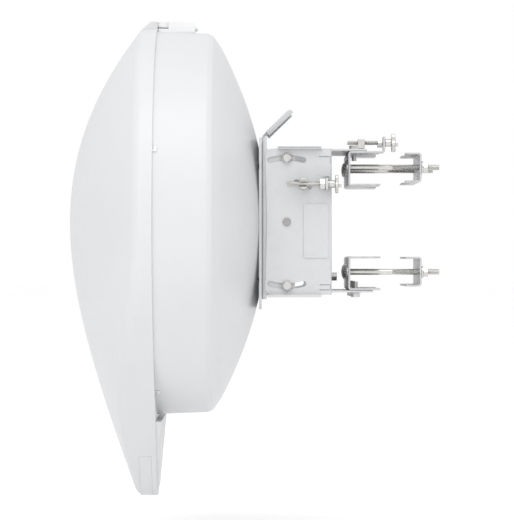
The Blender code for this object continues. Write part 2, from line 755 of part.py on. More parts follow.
def tilt_pin():
    """One pin through both cheeks and both ears."""
    reach, head = CHEEK_Y + SHEET + GAP, 1.3
    return rod("tilt_pin", (TILT_X, -reach - head, 0), (0, 1, 0),
               [(0, 3.4, "round"), (head, 4, "round"), (head, 3, "round"),
                (head + 2 * reach, 3, "round"), (head + 2 * reach, 4, "round"),
                (2 * head + 2 * reach, 3.4, "round")], "stainless")


def web_bolt():
    return rod("web_bolt", (WEB_X - 5, 0, -56.2), (1, 0, 0),
               [(0, 2.5, "round"), (5.3, 2.5, "round"), (5.3, 5.2, "round"),
                (6.5, 5.2, "round"), (6.5, 4.9, "hex"), (12.3, 4.9, "hex")], "stainless")


# ---------------------------------------------------------------- fine adjustment screws

def elevation_screw():
    bush = rod("swivel_bush", (-70.3, SCREW_Y, SCREW_Z), (1, 0, 0),
               [(0, 3.1, "round"), (3.05, 3.1, "round"), (3.05, 4.5, "round"),
                (4.1, 4.5, "round"), (4.1, 3.75, "round"), (9.7, 3.75, "round")],
               "stainless", bore=2.5)
    screw = rod("elevation_screw", (-110, SCREW_Y, SCREW_Z), (1, 0, 0),
                [(0, 2.1, "round"), (0.8, 2.65, "round"), (34.1, 2.65, "round"),
                 (34.1, 5.75, "hex"), (39.4, 5.75, "hex"), (39.4, 2.2, "round"),
                 (53.1, 2.2, "round"), (53.1, 4.1, "hex"), (56.2, 4.1, "hex")], "stainless")
    knob = rod("elevation_knob", (-60.3, SCREW_Y, SCREW_Z), (1, 0, 0),
               [(0, 8.6, "round"), (0.6, 9.4, "round"), (2.5, 9.4, "round"),
                (3.1, 8.6, "round")], "stainless", bore=2.5, sides=24)
    return bush, [screw, knob]


def azimuth_screw():
    screw = rod("azimuth_screw", (-47.3, POST_Y, FINE_SCREW_Z), (1, 0, 0),
                [(0, 1.8, "round"), (0.7, 2.3, "round"), (30.8, 2.3, "round"),
                 (30.8, 5.6, "hex"), (35.7, 5.6, "hex"), (35.7, 2.3, "round"),
                 (38.9, 2.3, "round"), (38.9, 4.1, "round"), (44.7, 4.1, "round"),
                 (44.7, 2.3, "round"), (49.5, 2.3, "round"), (49.5, 4.1, "hex"),
                 (52.1, 4.1, "hex")], "stainless")
    knob = rod("azimuth_knob", (-2.3, POST_Y, FINE_SCREW_Z), (1, 0, 0),
               [(0, 8.6, "round"), (0.8, 9.45, "round"), (3.4, 9.45, "round"),
                (4.2, 8.6, "round")], "stainless", bore=2.6, sides=24)
    return screw, knob


def azimuth_post():
    """A block that swivels on the upper arm, with a wide hole for the screw."""
    foot = UPPER_ARM_Z + SHEET + GAP
    obj = box("azimuth_post", (POST_X - 3.45, POST_Y - 6, foot), (POST_X + 3.45, POST_Y + 6, 85.2),
              "stainless")
    join(obj, rod("post_pin", (POST_X, POST_Y, UPPER_ARM_Z + 0.1), (0, 0, 1),
                  [(0, 2.5, "round"), (4, 2.5, "round")], "", cutter=True))
    cut(obj, box("post_hole_for_screw", (POST_X - 10, POST_Y - 3.7, FINE_SCREW_Z - 2.6),
                 (POST_X + 10, POST_Y + 2.6, FINE_SCREW_Z + 2.6), cutter=True))
    return obj


# ---------------------------------------------------------------- pole clamps

def notch(name, tip_x, bottom_x, opening, low, high):
    """A V cut into a clamp's flanges, where the pole sits."""
    beyond = tip_x + (tip_x - bottom_x) * 0.3
    wide = opening * 1.3
    loop = [(bottom_x, -6), (bottom_x, 6), (beyond, wide), (beyond, -wide)]
    return as_mesh(plate(name, [loop], XY_PLANE, low, high - low, "galvanised", True))


def clamp(name, low, high, web_x, tip_x, half_width, bolt_z):
    """A C section across the pole, open towards it, with a V in each flange."""
    inward = 1 if tip_x > web_x else -1
    half = SHEET / 2
    middle = web_x + inward * half
    path = [(tip_x, high - half), (middle, high - half), (middle, low + half),
            (tip_x, low + half)]
    obj = as_mesh(plate(name, [folded(path, SHEET, CLAMP_BEND)], XZ_PLANE, -half_width,
                        2 * half_width, "galvanised"))
    deep = 17 if half_width > 70 else 9
    cut(obj, notch(name + "_notch", tip_x, tip_x - inward * deep, 34, low - 5, high + 5))
    for side in (-1, 1):
        cut(obj, rod(f"{name}_bolt_hole_{side}", (web_x - inward * 4, side * BOLT_Y, bolt_z),
                     (inward, 0, 0), [(0, BOLT_RADIUS + GAP, "round"),
                                    (10, BOLT_RADIUS + GAP, "round")], "", cutter=True))
    return obj


def upper_front_clamp():
    high = UPPER_ARM_Z - GAP
    obj = clamp("upper_front_clamp", 37.1, high, CLAMP_WEB_X, CLAMP_TIP_X, CLAMP_HALF_WIDTH,
                UPPER_BOLT_Z)
    top = high - SHEET / 2
    tab = as_mesh(plate("fine_screw_tab", [folded([(-22, top), (-9.9, top), (-9.9, 87.5)],
                                                  SHEET, CLAMP_BEND)],
                        XZ_PLANE, -CLAMP_HALF_WIDTH, 19, "galvanised", True))
    join(obj, tab)
    cut(obj, rod("fine_screw_hole", (-16, POST_Y, FINE_SCREW_Z), (1, 0, 0),
                 [(0, 2.7, "round"), (12, 2.7, "round")], "", cutter=True))
    cut(obj, rod("upper_clamp_pivot_hole", (PIVOT_X, 0, 66), (0, 0, 1),
                 [(0, 2.8, "round"), (10, 2.8, "round")], "", cutter=True))
    return obj


def lower_front_clamp():
    obj = clamp("lower_front_clamp", LOWER_ARM_Z + SHEET + GAP, -35.1, CLAMP_WEB_X,
                CLAMP_TIP_X, CLAMP_HALF_WIDTH, LOWER_BOLT_Z)
    spots = [(PIVOT_X, 0), (LOCK_BOLT_X, LOCK_BOLT_Y), (LOCK_BOLT_X, -LOCK_BOLT_Y)]
    for i, (x, y) in enumerate(spots):
        cut(obj, rod(f"lower_clamp_hole_{i + 1}", (x, y, -74), (0, 0, 1),
                     [(0, 2.8, "round"), (10, 2.8, "round")], "", cutter=True))
    return obj


def azimuth_bolts():
    upper = rod("azimuth_pivot_upper", (PIVOT_X, 0, 65), (0, 0, 1),
                [(0, 2.5, "round"), (10.2, 2.5, "round"), (10.2, 5.7, "round"),
                 (11.5, 5.7, "round"), (11.5, 5.2, "hex"), (16.3, 5.2, "hex")], "stainless")
    found = [upper]
    spots = (("azimuth_pivot_lower", PIVOT_X, 0), ("azimuth_lock_bolt_1", LOCK_BOLT_X, -LOCK_BOLT_Y),
             ("azimuth_lock_bolt_2", LOCK_BOLT_X, LOCK_BOLT_Y))
    for name, x, y in spots:
        found.append(rod(name, (x, y, -61), (0, 0, -1),
                         [(0, 2.5, "round"), (11.4, 2.5, "round"), (11.4, 5.2, "round"),
                          (12.5, 5.2, "round"), (12.5, 4.6, "hex"), (16.1, 4.6, "hex")],
                         "stainless"))
    return found


def clamp_bolts():
    """Carriage bolts with domed heads, which the jaws slide on."""
    bolts = []
    head = 3.4
    dome = [(0, 2.2, "round"), (0.5, 4.4, "round"), (1.5, 6.6, "round"), (2.6, 7.8, "round"),
            (head, 8.1, "round")]
    for i, (side, z) in enumerate(bolt_spots()):
        bolts.append(rod(f"carriage_bolt_{i + 1}",
                         (CLAMP_WEB_X - GAP - head, side * BOLT_Y, z), (1, 0, 0),
                         [*dome, (head, BOLT_RADIUS, "round"), (97.4, BOLT_RADIUS, "round"),
                          (98.2, 2.4, "round")], "stainless"))
    return bolts


def bolt_spots():
    return ((-1, UPPER_BOLT_Z), (1, UPPER_BOLT_Z), (-1, LOWER_BOLT_Z), (1, LOWER_BOLT_Z))


def clamp_nut(number, side, z):
    """A hex nut with its washer."""
    return rod(f"clamp_nut_{number}", (JAW_WEB_X + GAP, side * BOLT_Y, z), (1, 0, 0),
               [(0, 6.5, "round"), (1.6, 6.5, "round"), (1.6, 5.8, "hex"), (6.7, 5.8, "hex")],
               "stainless", bore=BOLT_RADIUS + GAP)


# ---------------------------------------------------------------- assembly

def build():
    azimuth = axis("azimuth_axis", (PIVOT_X, 0, 0))
    elevation = axis("elevation_axis", (TILT_X, 0, 0), azimuth)
    latch_axis = axis("latch_axis", (LATCH_X, 0, LATCH_Z), elevation)
    cover_slide = axis("port_cover_slide", (-255, 0, -285.6), elevation)
    trunnion_axis = axis("trunnion_axis", (TRUNNION_X, SCREW_Y, TRUNNION_Z), elevation)
    bush_axis = axis("swivel_bush_axis", (BUSH_X, SCREW_Y, SCREW_Z), azimuth)
    screw_axis = axis("elevation_screw_axis", (-60, SCREW_Y, SCREW_Z), bush_axis)
    post_axis = axis("azimuth_post_axis", (POST_X, POST_Y, FINE_SCREW_Z), azimuth)
    fine_axis = axis("azimuth_screw_axis", (-2, POST_Y, FINE_SCREW_Z))
    upper_slide = axis("upper_jaw_slide", (JAW_WEB_X, 0, UPPER_BOLT_Z))
    lower_slide = axis("lower_jaw_slide", (JAW_WEB_X, 0, LOWER_BOLT_Z))

    lever, latch_pieces = top_latch()
    hang(elevation, radome(), radome_gasket(), rear_shell(), reflector(), *feed(), *radio(),
         chin_plate(), chin_cover(), *ports(), *rim_clips(), *latch_pieces, *rear_plate(),
         tilt_ear(-1), tilt_ear(1), *lock_bolts(), aiming_handle())
    hang(latch_axis, lever)
    hang(cover_slide, port_cover())
    hang(trunnion_axis, trunnion())

    hang(azimuth, web_and_arms(), cheek(-1), cheek(1), tilt_pin(), web_bolt())
    bush, screw_pieces = elevation_screw()
    hang(bush_axis, bush)
    hang(screw_axis, *screw_pieces)
    hang(post_axis, azimuth_post())
    hang(fine_axis, *azimuth_screw())

    upper_front_clamp()
    lower_front_clamp()
    azimuth_bolts()
    clamp_bolts()
    spots = bolt_spots()
    for slide, name, low, high, bolt_z, numbers in (
            (upper_slide, "upper_rear_jaw", 41.0, 71.6, UPPER_BOLT_Z, (1, 2)),
            (lower_slide, "lower_rear_jaw", -66.2, -35.6, LOWER_BOLT_Z, (3, 4))):
        hang(slide, clamp(name, low, high, JAW_WEB_X, JAW_TIP_X, JAW_HALF_WIDTH, bolt_z))
        hang(slide, *[clamp_nut(number, *spots[number - 1]) for number in numbers])


build()
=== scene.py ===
"""The look of the dish radio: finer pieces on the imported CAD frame, with materials, light,
floor and camera.

Lengths are in millimetres, and each shape is turned into metres as it is made. The frame is
the CAD model's: the origin on the pole's axis, +X from the dish past the pole, +Z up.
"""

import json
import math

import bmesh
import bpy
from mathutils import Matrix, Vector


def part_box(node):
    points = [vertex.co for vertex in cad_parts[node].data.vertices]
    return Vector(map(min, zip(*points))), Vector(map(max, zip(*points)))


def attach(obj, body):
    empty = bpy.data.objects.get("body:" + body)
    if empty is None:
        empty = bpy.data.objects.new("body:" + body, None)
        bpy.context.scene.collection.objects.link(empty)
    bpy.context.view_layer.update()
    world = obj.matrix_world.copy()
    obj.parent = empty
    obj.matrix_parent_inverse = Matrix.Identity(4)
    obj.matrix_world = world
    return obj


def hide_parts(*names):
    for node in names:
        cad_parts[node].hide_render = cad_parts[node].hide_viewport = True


MM = 0.001

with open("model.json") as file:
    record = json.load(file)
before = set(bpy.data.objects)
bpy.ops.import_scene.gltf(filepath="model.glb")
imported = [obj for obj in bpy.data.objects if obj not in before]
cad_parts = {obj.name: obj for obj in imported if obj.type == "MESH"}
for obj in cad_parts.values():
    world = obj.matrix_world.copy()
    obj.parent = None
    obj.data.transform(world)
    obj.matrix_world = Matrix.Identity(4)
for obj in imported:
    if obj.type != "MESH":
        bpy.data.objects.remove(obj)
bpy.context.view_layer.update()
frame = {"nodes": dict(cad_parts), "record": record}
RECORD = frame["record"]
BODY = {node: body for body, nodes in RECORD["behaviour"]["bodies"].items() for node in nodes}
SLOT = {part["node"]: part["material_slot"] for part in RECORD["subparts"]}

XZ_PLANE = (math.pi / 2, 0, 0)
YZ_PLANE = (math.pi / 2, 0, math.pi / 2)
XY_PLANE = (0, 0, 0)
NORMALS = {XY_PLANE: (0, 0, 1), XZ_PLANE: (0, 1, 0), YZ_PLANE: (1, 0, 0)}


def span(node):
    """Lowest and highest corner of a CAD node, in millimetres."""
    low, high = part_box(node)
    return low / MM, high / MM


# Driving dimensions, most of them read from the frame
GAP = 0.3
RIM_X = span("radome")[1].x
RIM_RADIUS = 202.6
CHIN_RADIUS = 44.0
CHIN_BOTTOM = -span("radome")[0].z
RADOME_DEPTH = RIM_X - span("radome")[0].x
RADOME_WALL = 2.5
EDGE_ROUND = 6.5
SHELL_RADIUS = 200.3
SHELL_REAR_RADIUS = 198.2
SHELL_WALL = 2.5
SHELL_REAR_X = span("rear_shell")[1].x
BOSS_RADIUS = 78.0
CATCH = (-249.2, 207.0)
LATCH = (-212.0, 206.0)
COVER_TOP_Z = span("port_cover")[1].z
COVER_FRONT_X = span("port_cover")[0].x
COVER_REAR_X = span("port_cover")[1].x
SHEET = 2.0
TILT_X = -109.5
LOCK_RADIUS = 65.5
EAR_Y = 77.7
CHEEK_Y = 80.0
CHEEK_LOW, CHEEK_HIGH = -74.5, 75.1
REAR_PLATE_X = span("rear_plate")[0].x
REAR_PLATE_THICK = 2.5
EAR_FOOT_X = REAR_PLATE_X + REAR_PLATE_THICK + GAP
CHEEK_FRONT_X = span("cheek_far")[0].x
WEB_X = span("cheek_far")[1].x
SCREW_AT = 60.0
HANDLE_TILT = math.radians(44)
HANDLE_LENGTH = 39.5
SCREW_Y, SCREW_Z = -92.0, 38.5
TRUNNION_X, TRUNNION_Z = -92.7, 38.9
TRUNNION_NECK = 1.8
BUSH_X = -68.9  # middle of the tab that the elevation screw's bush swings in
PIVOT_X = -38.2
UPPER_ARM_Z = 72.9
LOWER_ARM_Z = -72.1
ARM_HALF_WIDTH = 79.0
LOCK_BOLT_X, LOCK_BOLT_Y = -38.8, 66.0
POST_X, POST_Y, POST_Z = -33.1, -70.0, 81.3
CLAMP_WEB_X, CLAMP_TIP_X = -46.5, -13.8
CLAMP_BEND = 1.8
BOLT_Y = 55.0
BOLT_RADIUS = 3.0  # M6
M5_RADIUS, M5_HOLE, M5_HEX = 2.5, 2.8, 4.6
PIN_HOLE = 3.3
SLOT_REACH, SLOT_HALF_WIDTH = 15, 2.9
WEB_BOLT_Z = -56.2
TRUNNION_REACH = 10.4
LIP_REACH = 6.0
PAD_PROUD = 0.9
MARK_DEPTH = 1.3
CLIP_ANGLES = (20.6, -59.5, 159.4, 239.5)
FLOOR_Z = -330
UPPER_BOLT_Z, LOWER_BOLT_Z = 56.6, -51.2
CLAMP_THREAD_X = 0.2  # where the clamp bolts' threads start


# ---------------------------------------------------------------- materials

class Finish:
    """A Principled material whose colour, roughness and bump come from noise in the row frame."""

    def __init__(self, name, colour, roughness, metallic=0.0):
        self.material = bpy.data.materials.new(name)
        self.material.use_nodes = True
        self.tree = self.material.node_tree
        self.shader = self.tree.nodes["Principled BSDF"]
        self.colour = colour
        self.shader.inputs["Base Color"].default_value = (*colour, 1)
        self.shader.inputs["Roughness"].default_value = roughness
        self.shader.inputs["Metallic"].default_value = metallic
        self.coords = self.node("ShaderNodeTexCoord").outputs["Object"]
        self.bump_normal = None

    def node(self, kind, **inputs):
        made = self.tree.nodes.new(kind)
        for name, value in inputs.items():
            made.inputs[name.replace("_", " ")].default_value = value
        return made

    def link(self, output, target):
        self.tree.links.new(output, target)

    def noise(self, size, detail=3.0, stretch=(1, 1, 1)):
        """Noise with features about size millimetres across, longer along a small stretch."""
        mapping = self.node("ShaderNodeMapping", Scale=stretch)
        noise = self.node("ShaderNodeTexNoise", Scale=1 / (size * MM), Detail=detail)
        self.link(self.coords, mapping.inputs["Vector"])
        self.link(mapping.outputs["Vector"], noise.inputs["Vector"])
        return noise.outputs["Fac"]

    def ranged(self, value, low, high, source=(0.3, 0.7)):
        node = self.node("ShaderNodeMapRange")
        node.inputs["From Min"].default_value = source[0]
        node.inputs["From Max"].default_value = source[1]
        node.inputs["To Min"].default_value = low
        node.inputs["To Max"].default_value = high
        self.link(value, node.inputs["Value"])
        return node.outputs["Result"]

    def tint(self, value, amount, source=(0.3, 0.7)):
        """Colour that runs a share darker and lighter with value."""
        mix = self.tree.nodes.new("ShaderNodeMix")
        mix.data_type = "RGBA"
        dark = [c * (1 - amount) for c in self.colour]
        light = [min(1.0, c * (1 + amount)) for c in self.colour]
        mix.inputs[6].default_value = (*dark, 1)
        mix.inputs[7].default_value = (*light, 1)
        self.link(self.ranged(value, 0, 1, source), mix.inputs[0])
        self.link(mix.outputs[2], self.shader.inputs["Base Color"])

    def gloss(self, value, low, high):
        self.link(self.ranged(value, low, high), self.shader.inputs["Roughness"])

    def bump(self, height, depth):
        """Relief depth millimetres deep. Calls stack up."""
        node = self.node("ShaderNodeBump", Distance=depth * MM, Strength=1.0)
        self.link(height, node.inputs["Height"])
        if self.bump_normal:
            self.link(self.bump_normal, node.inputs["Normal"])
        self.bump_normal = node.outputs["Normal"]
        self.link(self.bump_normal, self.shader.inputs["Normal"])


def moulded_plastic(name, colour, roughness):
    """UV-stable moulded plastic: spark-eroded grain, faint flow marks."""
    finish = Finish(name, colour, roughness)
    flow = finish.noise(60, 4)
    finish.tint(flow, 0.012)
    finish.gloss(finish.noise(8, 3), roughness - 0.05, roughness + 0.05)
    finish.bump(finish.noise(0.9, 2), 0.012)
    finish.bump(finish.noise(35, 2), 0.05)
    finish.shader.inputs["IOR"].default_value = 1.46
    return finish.material


def powder_coat(name, colour):
    """Powder coat on sheet steel: orange peel and a faint mottle."""
    finish = Finish(name, colour, 0.42)
    finish.tint(finish.noise(14, 4), 0.02)
    finish.gloss(finish.noise(3, 2), 0.36, 0.48)
    finish.bump(finish.noise(1.6, 1.5), 0.02)
    finish.bump(finish.noise(0.35, 1), 0.004)
    return finish.material


def galvanised(name, colour):
    """Zinc on steel: spangles a few millimetres across, each its own grey."""
    finish = Finish(name, colour, 0.42, 0.75)
    cells = finish.node("ShaderNodeTexVoronoi", Scale=1 / (4.5 * MM), Randomness=1.0)
    finish.link(finish.coords, cells.inputs["Vector"])
    grey = finish.node("ShaderNodeSeparateColor")
    finish.link(cells.outputs["Color"], grey.inputs["Color"])
    finish.tint(grey.outputs["Red"], 0.09, source=(0, 1))
    finish.gloss(finish.noise(2.5, 4), 0.34, 0.5)
    finish.bump(finish.noise(0.8, 3), 0.012)
    return finish.material


def stainless(name, colour):
    """Plain stainless hardware: fine turning marks and a slightly uneven polish."""
    finish = Finish(name, colour, 0.28, 1.0)
    finish.tint(finish.noise(5, 4), 0.05)
    finish.gloss(finish.noise(1.2, 3, stretch=(4, 1, 1)), 0.2, 0.36)
    finish.bump(finish.noise(0.35, 2, stretch=(5, 0.6, 0.6)), 0.004)
    return finish.material


def satin_aluminium(name, colour):
    finish = Finish(name, colour, 0.34, 1.0)
    finish.tint(finish.noise(12, 4), 0.03)
    finish.gloss(finish.noise(2, 3), 0.28, 0.42)
    finish.bump(finish.noise(0.6, 2), 0.006)
    return finish.material


def seal_rubber(name, colour):
    finish = Finish(name, colour, 0.8)
    finish.tint(finish.noise(6, 3), 0.15)
    finish.bump(finish.noise(0.5, 2), 0.02)
    return finish.material


def solder_mask(name, colour):
    """A green board with its copper pour showing as faint steps."""
    finish = Finish(name, colour, 0.35)
    finish.tint(finish.noise(4, 0), 0.3, source=(0.48, 0.52))
    finish.bump(finish.noise(4, 0), 0.03)
    return finish.material


WHITE = (0.60, 0.605, 0.615)
FINISHES = {
    "white_plastic": moulded_plastic("white_plastic_look", WHITE, 0.4),
    # The latch's plastic is the same white plastic made lighter: a painted highlight that
    # brightens the camera-facing latch housing.
    "latch_plastic": moulded_plastic("latch_plastic_look", (0.73, 0.735, 0.74), 0.36),
    "bracket_paint": powder_coat("bracket_paint_look", (0.54, 0.545, 0.555)),
    "galvanised_steel": galvanised("galvanised_look", (0.50, 0.50, 0.51)),
    "stainless_steel": stainless("stainless_look", (0.60, 0.59, 0.57)),
    "aluminium": satin_aluminium("aluminium_look", (0.72, 0.73, 0.74)),
    "seal_rubber": seal_rubber("seal_rubber_look", (0.045, 0.045, 0.048)),
    "circuit_board": solder_mask("circuit_board_look", (0.03, 0.17, 0.08)),
}
DULL_STEEL = stainless("dull_steel_look", (0.37, 0.365, 0.36))


# ---------------------------------------------------------------- shape helpers

def mesh_object(name, shape):
    mesh = bpy.data.meshes.new(name)
    shape.to_mesh(mesh)
    shape.free()
    obj = bpy.data.objects.new(name, mesh)
    bpy.context.scene.collection.objects.link(obj)
    return obj


def smooth(obj, angle=32):
    obj.data.shade_smooth()
    obj.data.set_sharp_from_angle(angle=math.radians(angle))
    return obj


def weighted(obj):
    """Normals that follow the large faces, so that flat sheet shades flat up to its edges."""
    modifier = obj.modifiers.new("weighted_normals", "WEIGHTED_NORMAL")
    modifier.keep_sharp = True
    return applied(obj)


def applied(obj):
    """The object with its modifiers, curve and place made into plain mesh."""
    bpy.context.view_layer.update()
    graph = bpy.context.evaluated_depsgraph_get()
    mesh = bpy.data.meshes.new_from_object(obj.evaluated_get(graph))
    mesh.transform(obj.matrix_world)
    mesh.materials.clear()
    name = obj.name
    bpy.data.objects.remove(obj, do_unlink=True)
    made = bpy.data.objects.new(name, mesh)
    bpy.context.scene.collection.objects.link(made)
    return made


def combine(obj, other, operation):
    modifier = obj.modifiers.new(operation.lower(), "BOOLEAN")
    modifier.operation = operation
    modifier.object = other
    modifier.solver = "EXACT"
    made = applied(obj)
    bpy.data.objects.remove(other, do_unlink=True)
    return made


def cut(obj, *others):
    for other in others:
        obj = combine(obj, other, "DIFFERENCE")
    return obj


def join(obj, *others):
    for other in others:
        obj = combine(obj, other, "UNION")
    return obj


def soften(obj, width=0.35, segments=2, angle=40):
    """Rounds the sharp edges by width millimetres."""
    shape = bmesh.new()
    shape.from_mesh(obj.data)
    bmesh.ops.remove_doubles(shape, verts=shape.verts, dist=0.002 * MM)
    bmesh.ops.dissolve_limit(shape, angle_limit=math.radians(0.5), verts=shape.verts,
                             edges=shape.edges)
    shape.to_mesh(obj.data)
    shape.free()
    bevel = obj.modifiers.new("soft_edges", "BEVEL")
    bevel.width = width * MM
    bevel.segments = segments
    bevel.limit_method = "ANGLE"
    bevel.angle_limit = math.radians(angle)
    bevel.harden_normals = False
    return smooth(applied(obj))


def block(low, high):
    low, high = Vector(low), Vector(high)
    shape = bmesh.new()
    bmesh.ops.create_cube(shape, size=1)
    bmesh.ops.scale(shape, vec=(high - low) * MM, verts=shape.verts)
    bmesh.ops.translate(shape, vec=(high + low) * MM / 2, verts=shape.verts)
    return mesh_object("block", shape)


def plate(loops, plane, start, thickness):
    """A flat outline, with any holes as further loops, from start along the plane's normal."""
    curve = bpy.data.curves.new("plate", "CURVE")
    curve.dimensions = "2D"
    curve.fill_mode = "BOTH"
    curve.extrude = thickness * MM / 2
    for loop in loops:
        spline = curve.splines.new("POLY")
        spline.points.add(len(loop) - 1)
        spline.use_cyclic_u = True
        for point, (u, v) in zip(spline.points, loop):
            point.co = (u * MM, v * MM, 0, 1)
    obj = bpy.data.objects.new("plate", curve)
    obj.rotation_euler = plane
    obj.location = Vector(NORMALS[plane]) * (start + thickness / 2) * MM
    bpy.context.scene.collection.objects.link(obj)
    obj = applied(obj)
    shape = bmesh.new()
    shape.from_mesh(obj.data)
    bmesh.ops.remove_doubles(shape, verts=shape.verts, dist=0.002 * MM)
    bmesh.ops.recalc_face_normals(shape, faces=shape.faces)
    shape.to_mesh(obj.data)
    shape.free()
    return obj


def arc(centre, radius, first, last, steps):
    points = []
    for i in range(steps + 1):
        turn = math.radians(first + (last - first) * i / steps)
        points.append((centre[0] + radius * math.cos(turn), centre[1] + radius * math.sin(turn)))
    return points


def circle(centre, radius, sides=40):
    return arc(centre, radius, 0, 360 - 360 / sides, sides - 1)


def arc_slot(centre, radius, middle, reach, half_width):
    """A slot that follows a circle, reach degrees each way from its middle."""
    outer = arc(centre, radius + half_width, middle - reach, middle + reach, 24)
    inner = arc(centre, radius - half_width, middle + reach, middle - reach, 24)
    ends = []
    for turn, first in ((middle + reach, middle + reach), (middle - reach, middle - reach + 180)):
        end = arc(centre, radius, turn, turn, 1)[0]
        ends.append(arc(end, half_width, first, first + 180, 12)[1:-1])
    return outer + ends[0] + inner + ends[1]


def rounded(corners, steps=8):
    """An outline from (u, v, radius) corners."""
    points = []
    count = len(corners)
    for i, (u, v, radius) in enumerate(corners):
        here = Vector((u, v))
        if not radius:
            points.append((u, v))
            continue
        back = (Vector(corners[i - 1][:2]) - here).normalized()
        ahead = (Vector(corners[(i + 1) % count][:2]) - here).normalized()
        half = back.angle(ahead) / 2
        centre = here + (back + ahead).normalized() * radius / math.sin(half)
        start = here + back * radius / math.tan(half) - centre
        end = here + ahead * radius / math.tan(half) - centre
        swing = start.angle_signed(end)
        for step in range(steps + 1):
            swung = Matrix.Rotation(-swing * step / steps, 2) @ start
            points.append(tuple(centre + swung))
    return points


def folded(path, thickness, bend):
    """The outline of a folded strip, from the (u, v) corners of its middle line."""
    line = rounded([(u, v, bend if 0 < i < len(path) - 1 else 0)
                    for i, (u, v) in enumerate(path)])
    sides = ([], [])
    for i, point in enumerate(line):
        before = Vector(line[max(i - 1, 0)])
        after = Vector(line[min(i + 1, len(line) - 1)])
        along = (after - before).normalized()
        across = Vector((-along.y, along.x)) * thickness / 2
        sides[0].append(tuple(Vector(point) + across))
        sides[1].append(tuple(Vector(point) - across))
    return sides[0] + sides[1][::-1]


# ---------------------------------------------------------------- turned pieces

def hex_reach(radius, turn):
    sixth = math.radians(60)
    return radius * math.cos(sixth / 2) / math.cos(turn % sixth - sixth / 2)


def steady(radius):
    return lambda turn: radius


def round_rings(start, length, radius, chamfer=0.25):
    end = start + length
    return [(start, steady(radius - chamfer)), (start + chamfer, steady(radius)),
            (end - chamfer, steady(radius)), (end, steady(radius - chamfer))]


def cone_rings(start, length, first, last):
    return [(start, steady(first)), (start + length, steady(last))]


def dome_rings(start, length, radius):
    """A domed head that starts at its top."""
    steps = 10
    rings = []
    for i in range(1, steps + 1):
        share = (i / steps) ** 1.6
        rings.append((start + length * share,
                      steady(radius * math.sqrt(1 - (1 - share) ** 2))))
    return [(start, steady(radius * 0.12)), *rings]


def hex_rings(start, length, radius, chamfered=(True, True)):
    """A hexagon whose corners are turned down at its ends."""
    flat = radius * math.cos(math.radians(30))
    slope = math.tan(math.radians(60))
    depth = (radius - flat * 0.97) / slope
    rings = []
    for i in range(4):
        down = depth * i / 3
        reach = flat * 0.97 + slope * down
        rings.append((down, lambda turn, reach=reach: min(hex_reach(radius, turn), reach)))
    full = [(0, lambda turn: hex_reach(radius, turn))]
    first = rings if chamfered[0] else full
    last = rings if chamfered[1] else full
    return ([(start + down, reach) for down, reach in first]
            + [(start + length - down, reach) for down, reach in last[::-1]])


def thread_rings(start, length, radius, pitch, steps=4):
    """A helical ridge, turned down over its last pitch."""
    depth = 0.4 * pitch
    count = int(length / pitch * steps)
    rings = []
    for i in range(count + 1):
        distance = length * i / count

        def reach(turn, distance=distance):
            wave = abs(2 * ((distance / pitch - turn / (2 * math.pi)) % 1) - 1)
            return min(radius - depth * wave, radius - depth + (length - distance))
        rings.append((start + distance, reach))
    return rings


def knurl_rings(start, length, radius, ridges):
    chamfer, depth = 0.7, 0.45

    def ridged(turn):
        return radius - depth * (0.5 - 0.5 * math.cos(ridges * turn))

    return [(start, steady(radius - chamfer)), (start + chamfer * 0.8, ridged),
            (start + length - chamfer * 0.8, ridged), (start + length, steady(radius - chamfer))]


def turned(start, direction, rings, bore=0.0, sides=48):
    """A turned piece from rings of (distance, radius at a turn) along direction."""
    shape = bmesh.new()
    turns = [2 * math.pi * i / sides for i in range(sides)]
    if bore:
        rings = [(rings[0][0], steady(bore)), *rings, (rings[-1][0], steady(bore))]
    made = []
    for distance, reach in rings:
        ring = []
        for turn in turns:
            radius = reach(turn)
            corner = Vector((radius * math.cos(turn), radius * math.sin(turn), distance))
            ring.append(shape.verts.new(corner * MM))
        made.append(ring)
    if bore:
        made.append(made[0])
    for below, above in zip(made, made[1:]):
        for i in range(sides):
            j = (i + 1) % sides
            shape.faces.new((below[i], below[j], above[j], above[i]))
    if not bore:
        shape.faces.new(reversed(made[0]))
        shape.faces.new(made[-1])
    aim = Vector(direction).to_track_quat("Z", "Y").to_matrix().to_4x4()
    bmesh.ops.transform(shape, matrix=aim, verts=shape.verts)
    bmesh.ops.translate(shape, vec=Vector(start) * MM, verts=shape.verts)
    bmesh.ops.remove_doubles(shape, verts=shape.verts, dist=0.0005 * MM)
    bmesh.ops.recalc_face_normals(shape, faces=shape.faces)
    return smooth(mesh_object("turned", shape))


def drill(start, direction, length, radius):
    return turned(start, direction, cone_rings(0, length, radius, radius))


def stand_in(obj, *nodes, finish=None):
    """obj is shown instead of the CAD nodes, on their body and in their finish or another."""
    obj = weighted(obj)
    obj.name = nodes[0] + "_detail"
    obj.data.name = obj.name
    obj.data.materials.clear()
    obj.data.materials.append(finish or FINISHES[SLOT[nodes[0]]])
    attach(obj, BODY[nodes[0]])
    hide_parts(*nodes)


# ---------------------------------------------------------------- radome and chin

CHIN_CENTRE = CHIN_BOTTOM - CHIN_RADIUS
TANGENT = math.acos((RIM_RADIUS - CHIN_RADIUS) / CHIN_CENTRE)
CHIN_TURN = math.atan2(CHIN_RADIUS * math.sin(TANGENT),
                       CHIN_CENTRE + CHIN_RADIUS * math.cos(TANGENT))


def rim_distance(turn, inset=0.0):
    """From the dish's axis to the teardrop rim, at an angle from straight down."""
    turn = abs(turn)
    if turn >= TANGENT:
        return RIM_RADIUS - inset
    if turn >= CHIN_TURN:
        return (RIM_RADIUS - inset) / math.cos(TANGENT - turn)
    radius = CHIN_RADIUS - inset
    return CHIN_CENTRE * math.cos(turn) + math.sqrt(
        radius ** 2 - (CHIN_CENTRE * math.sin(turn)) ** 2)


def rim_point(turn, inset=0.0):
    reach = rim_distance(turn, inset)
    return reach * math.sin(turn), -reach * math.cos(turn)


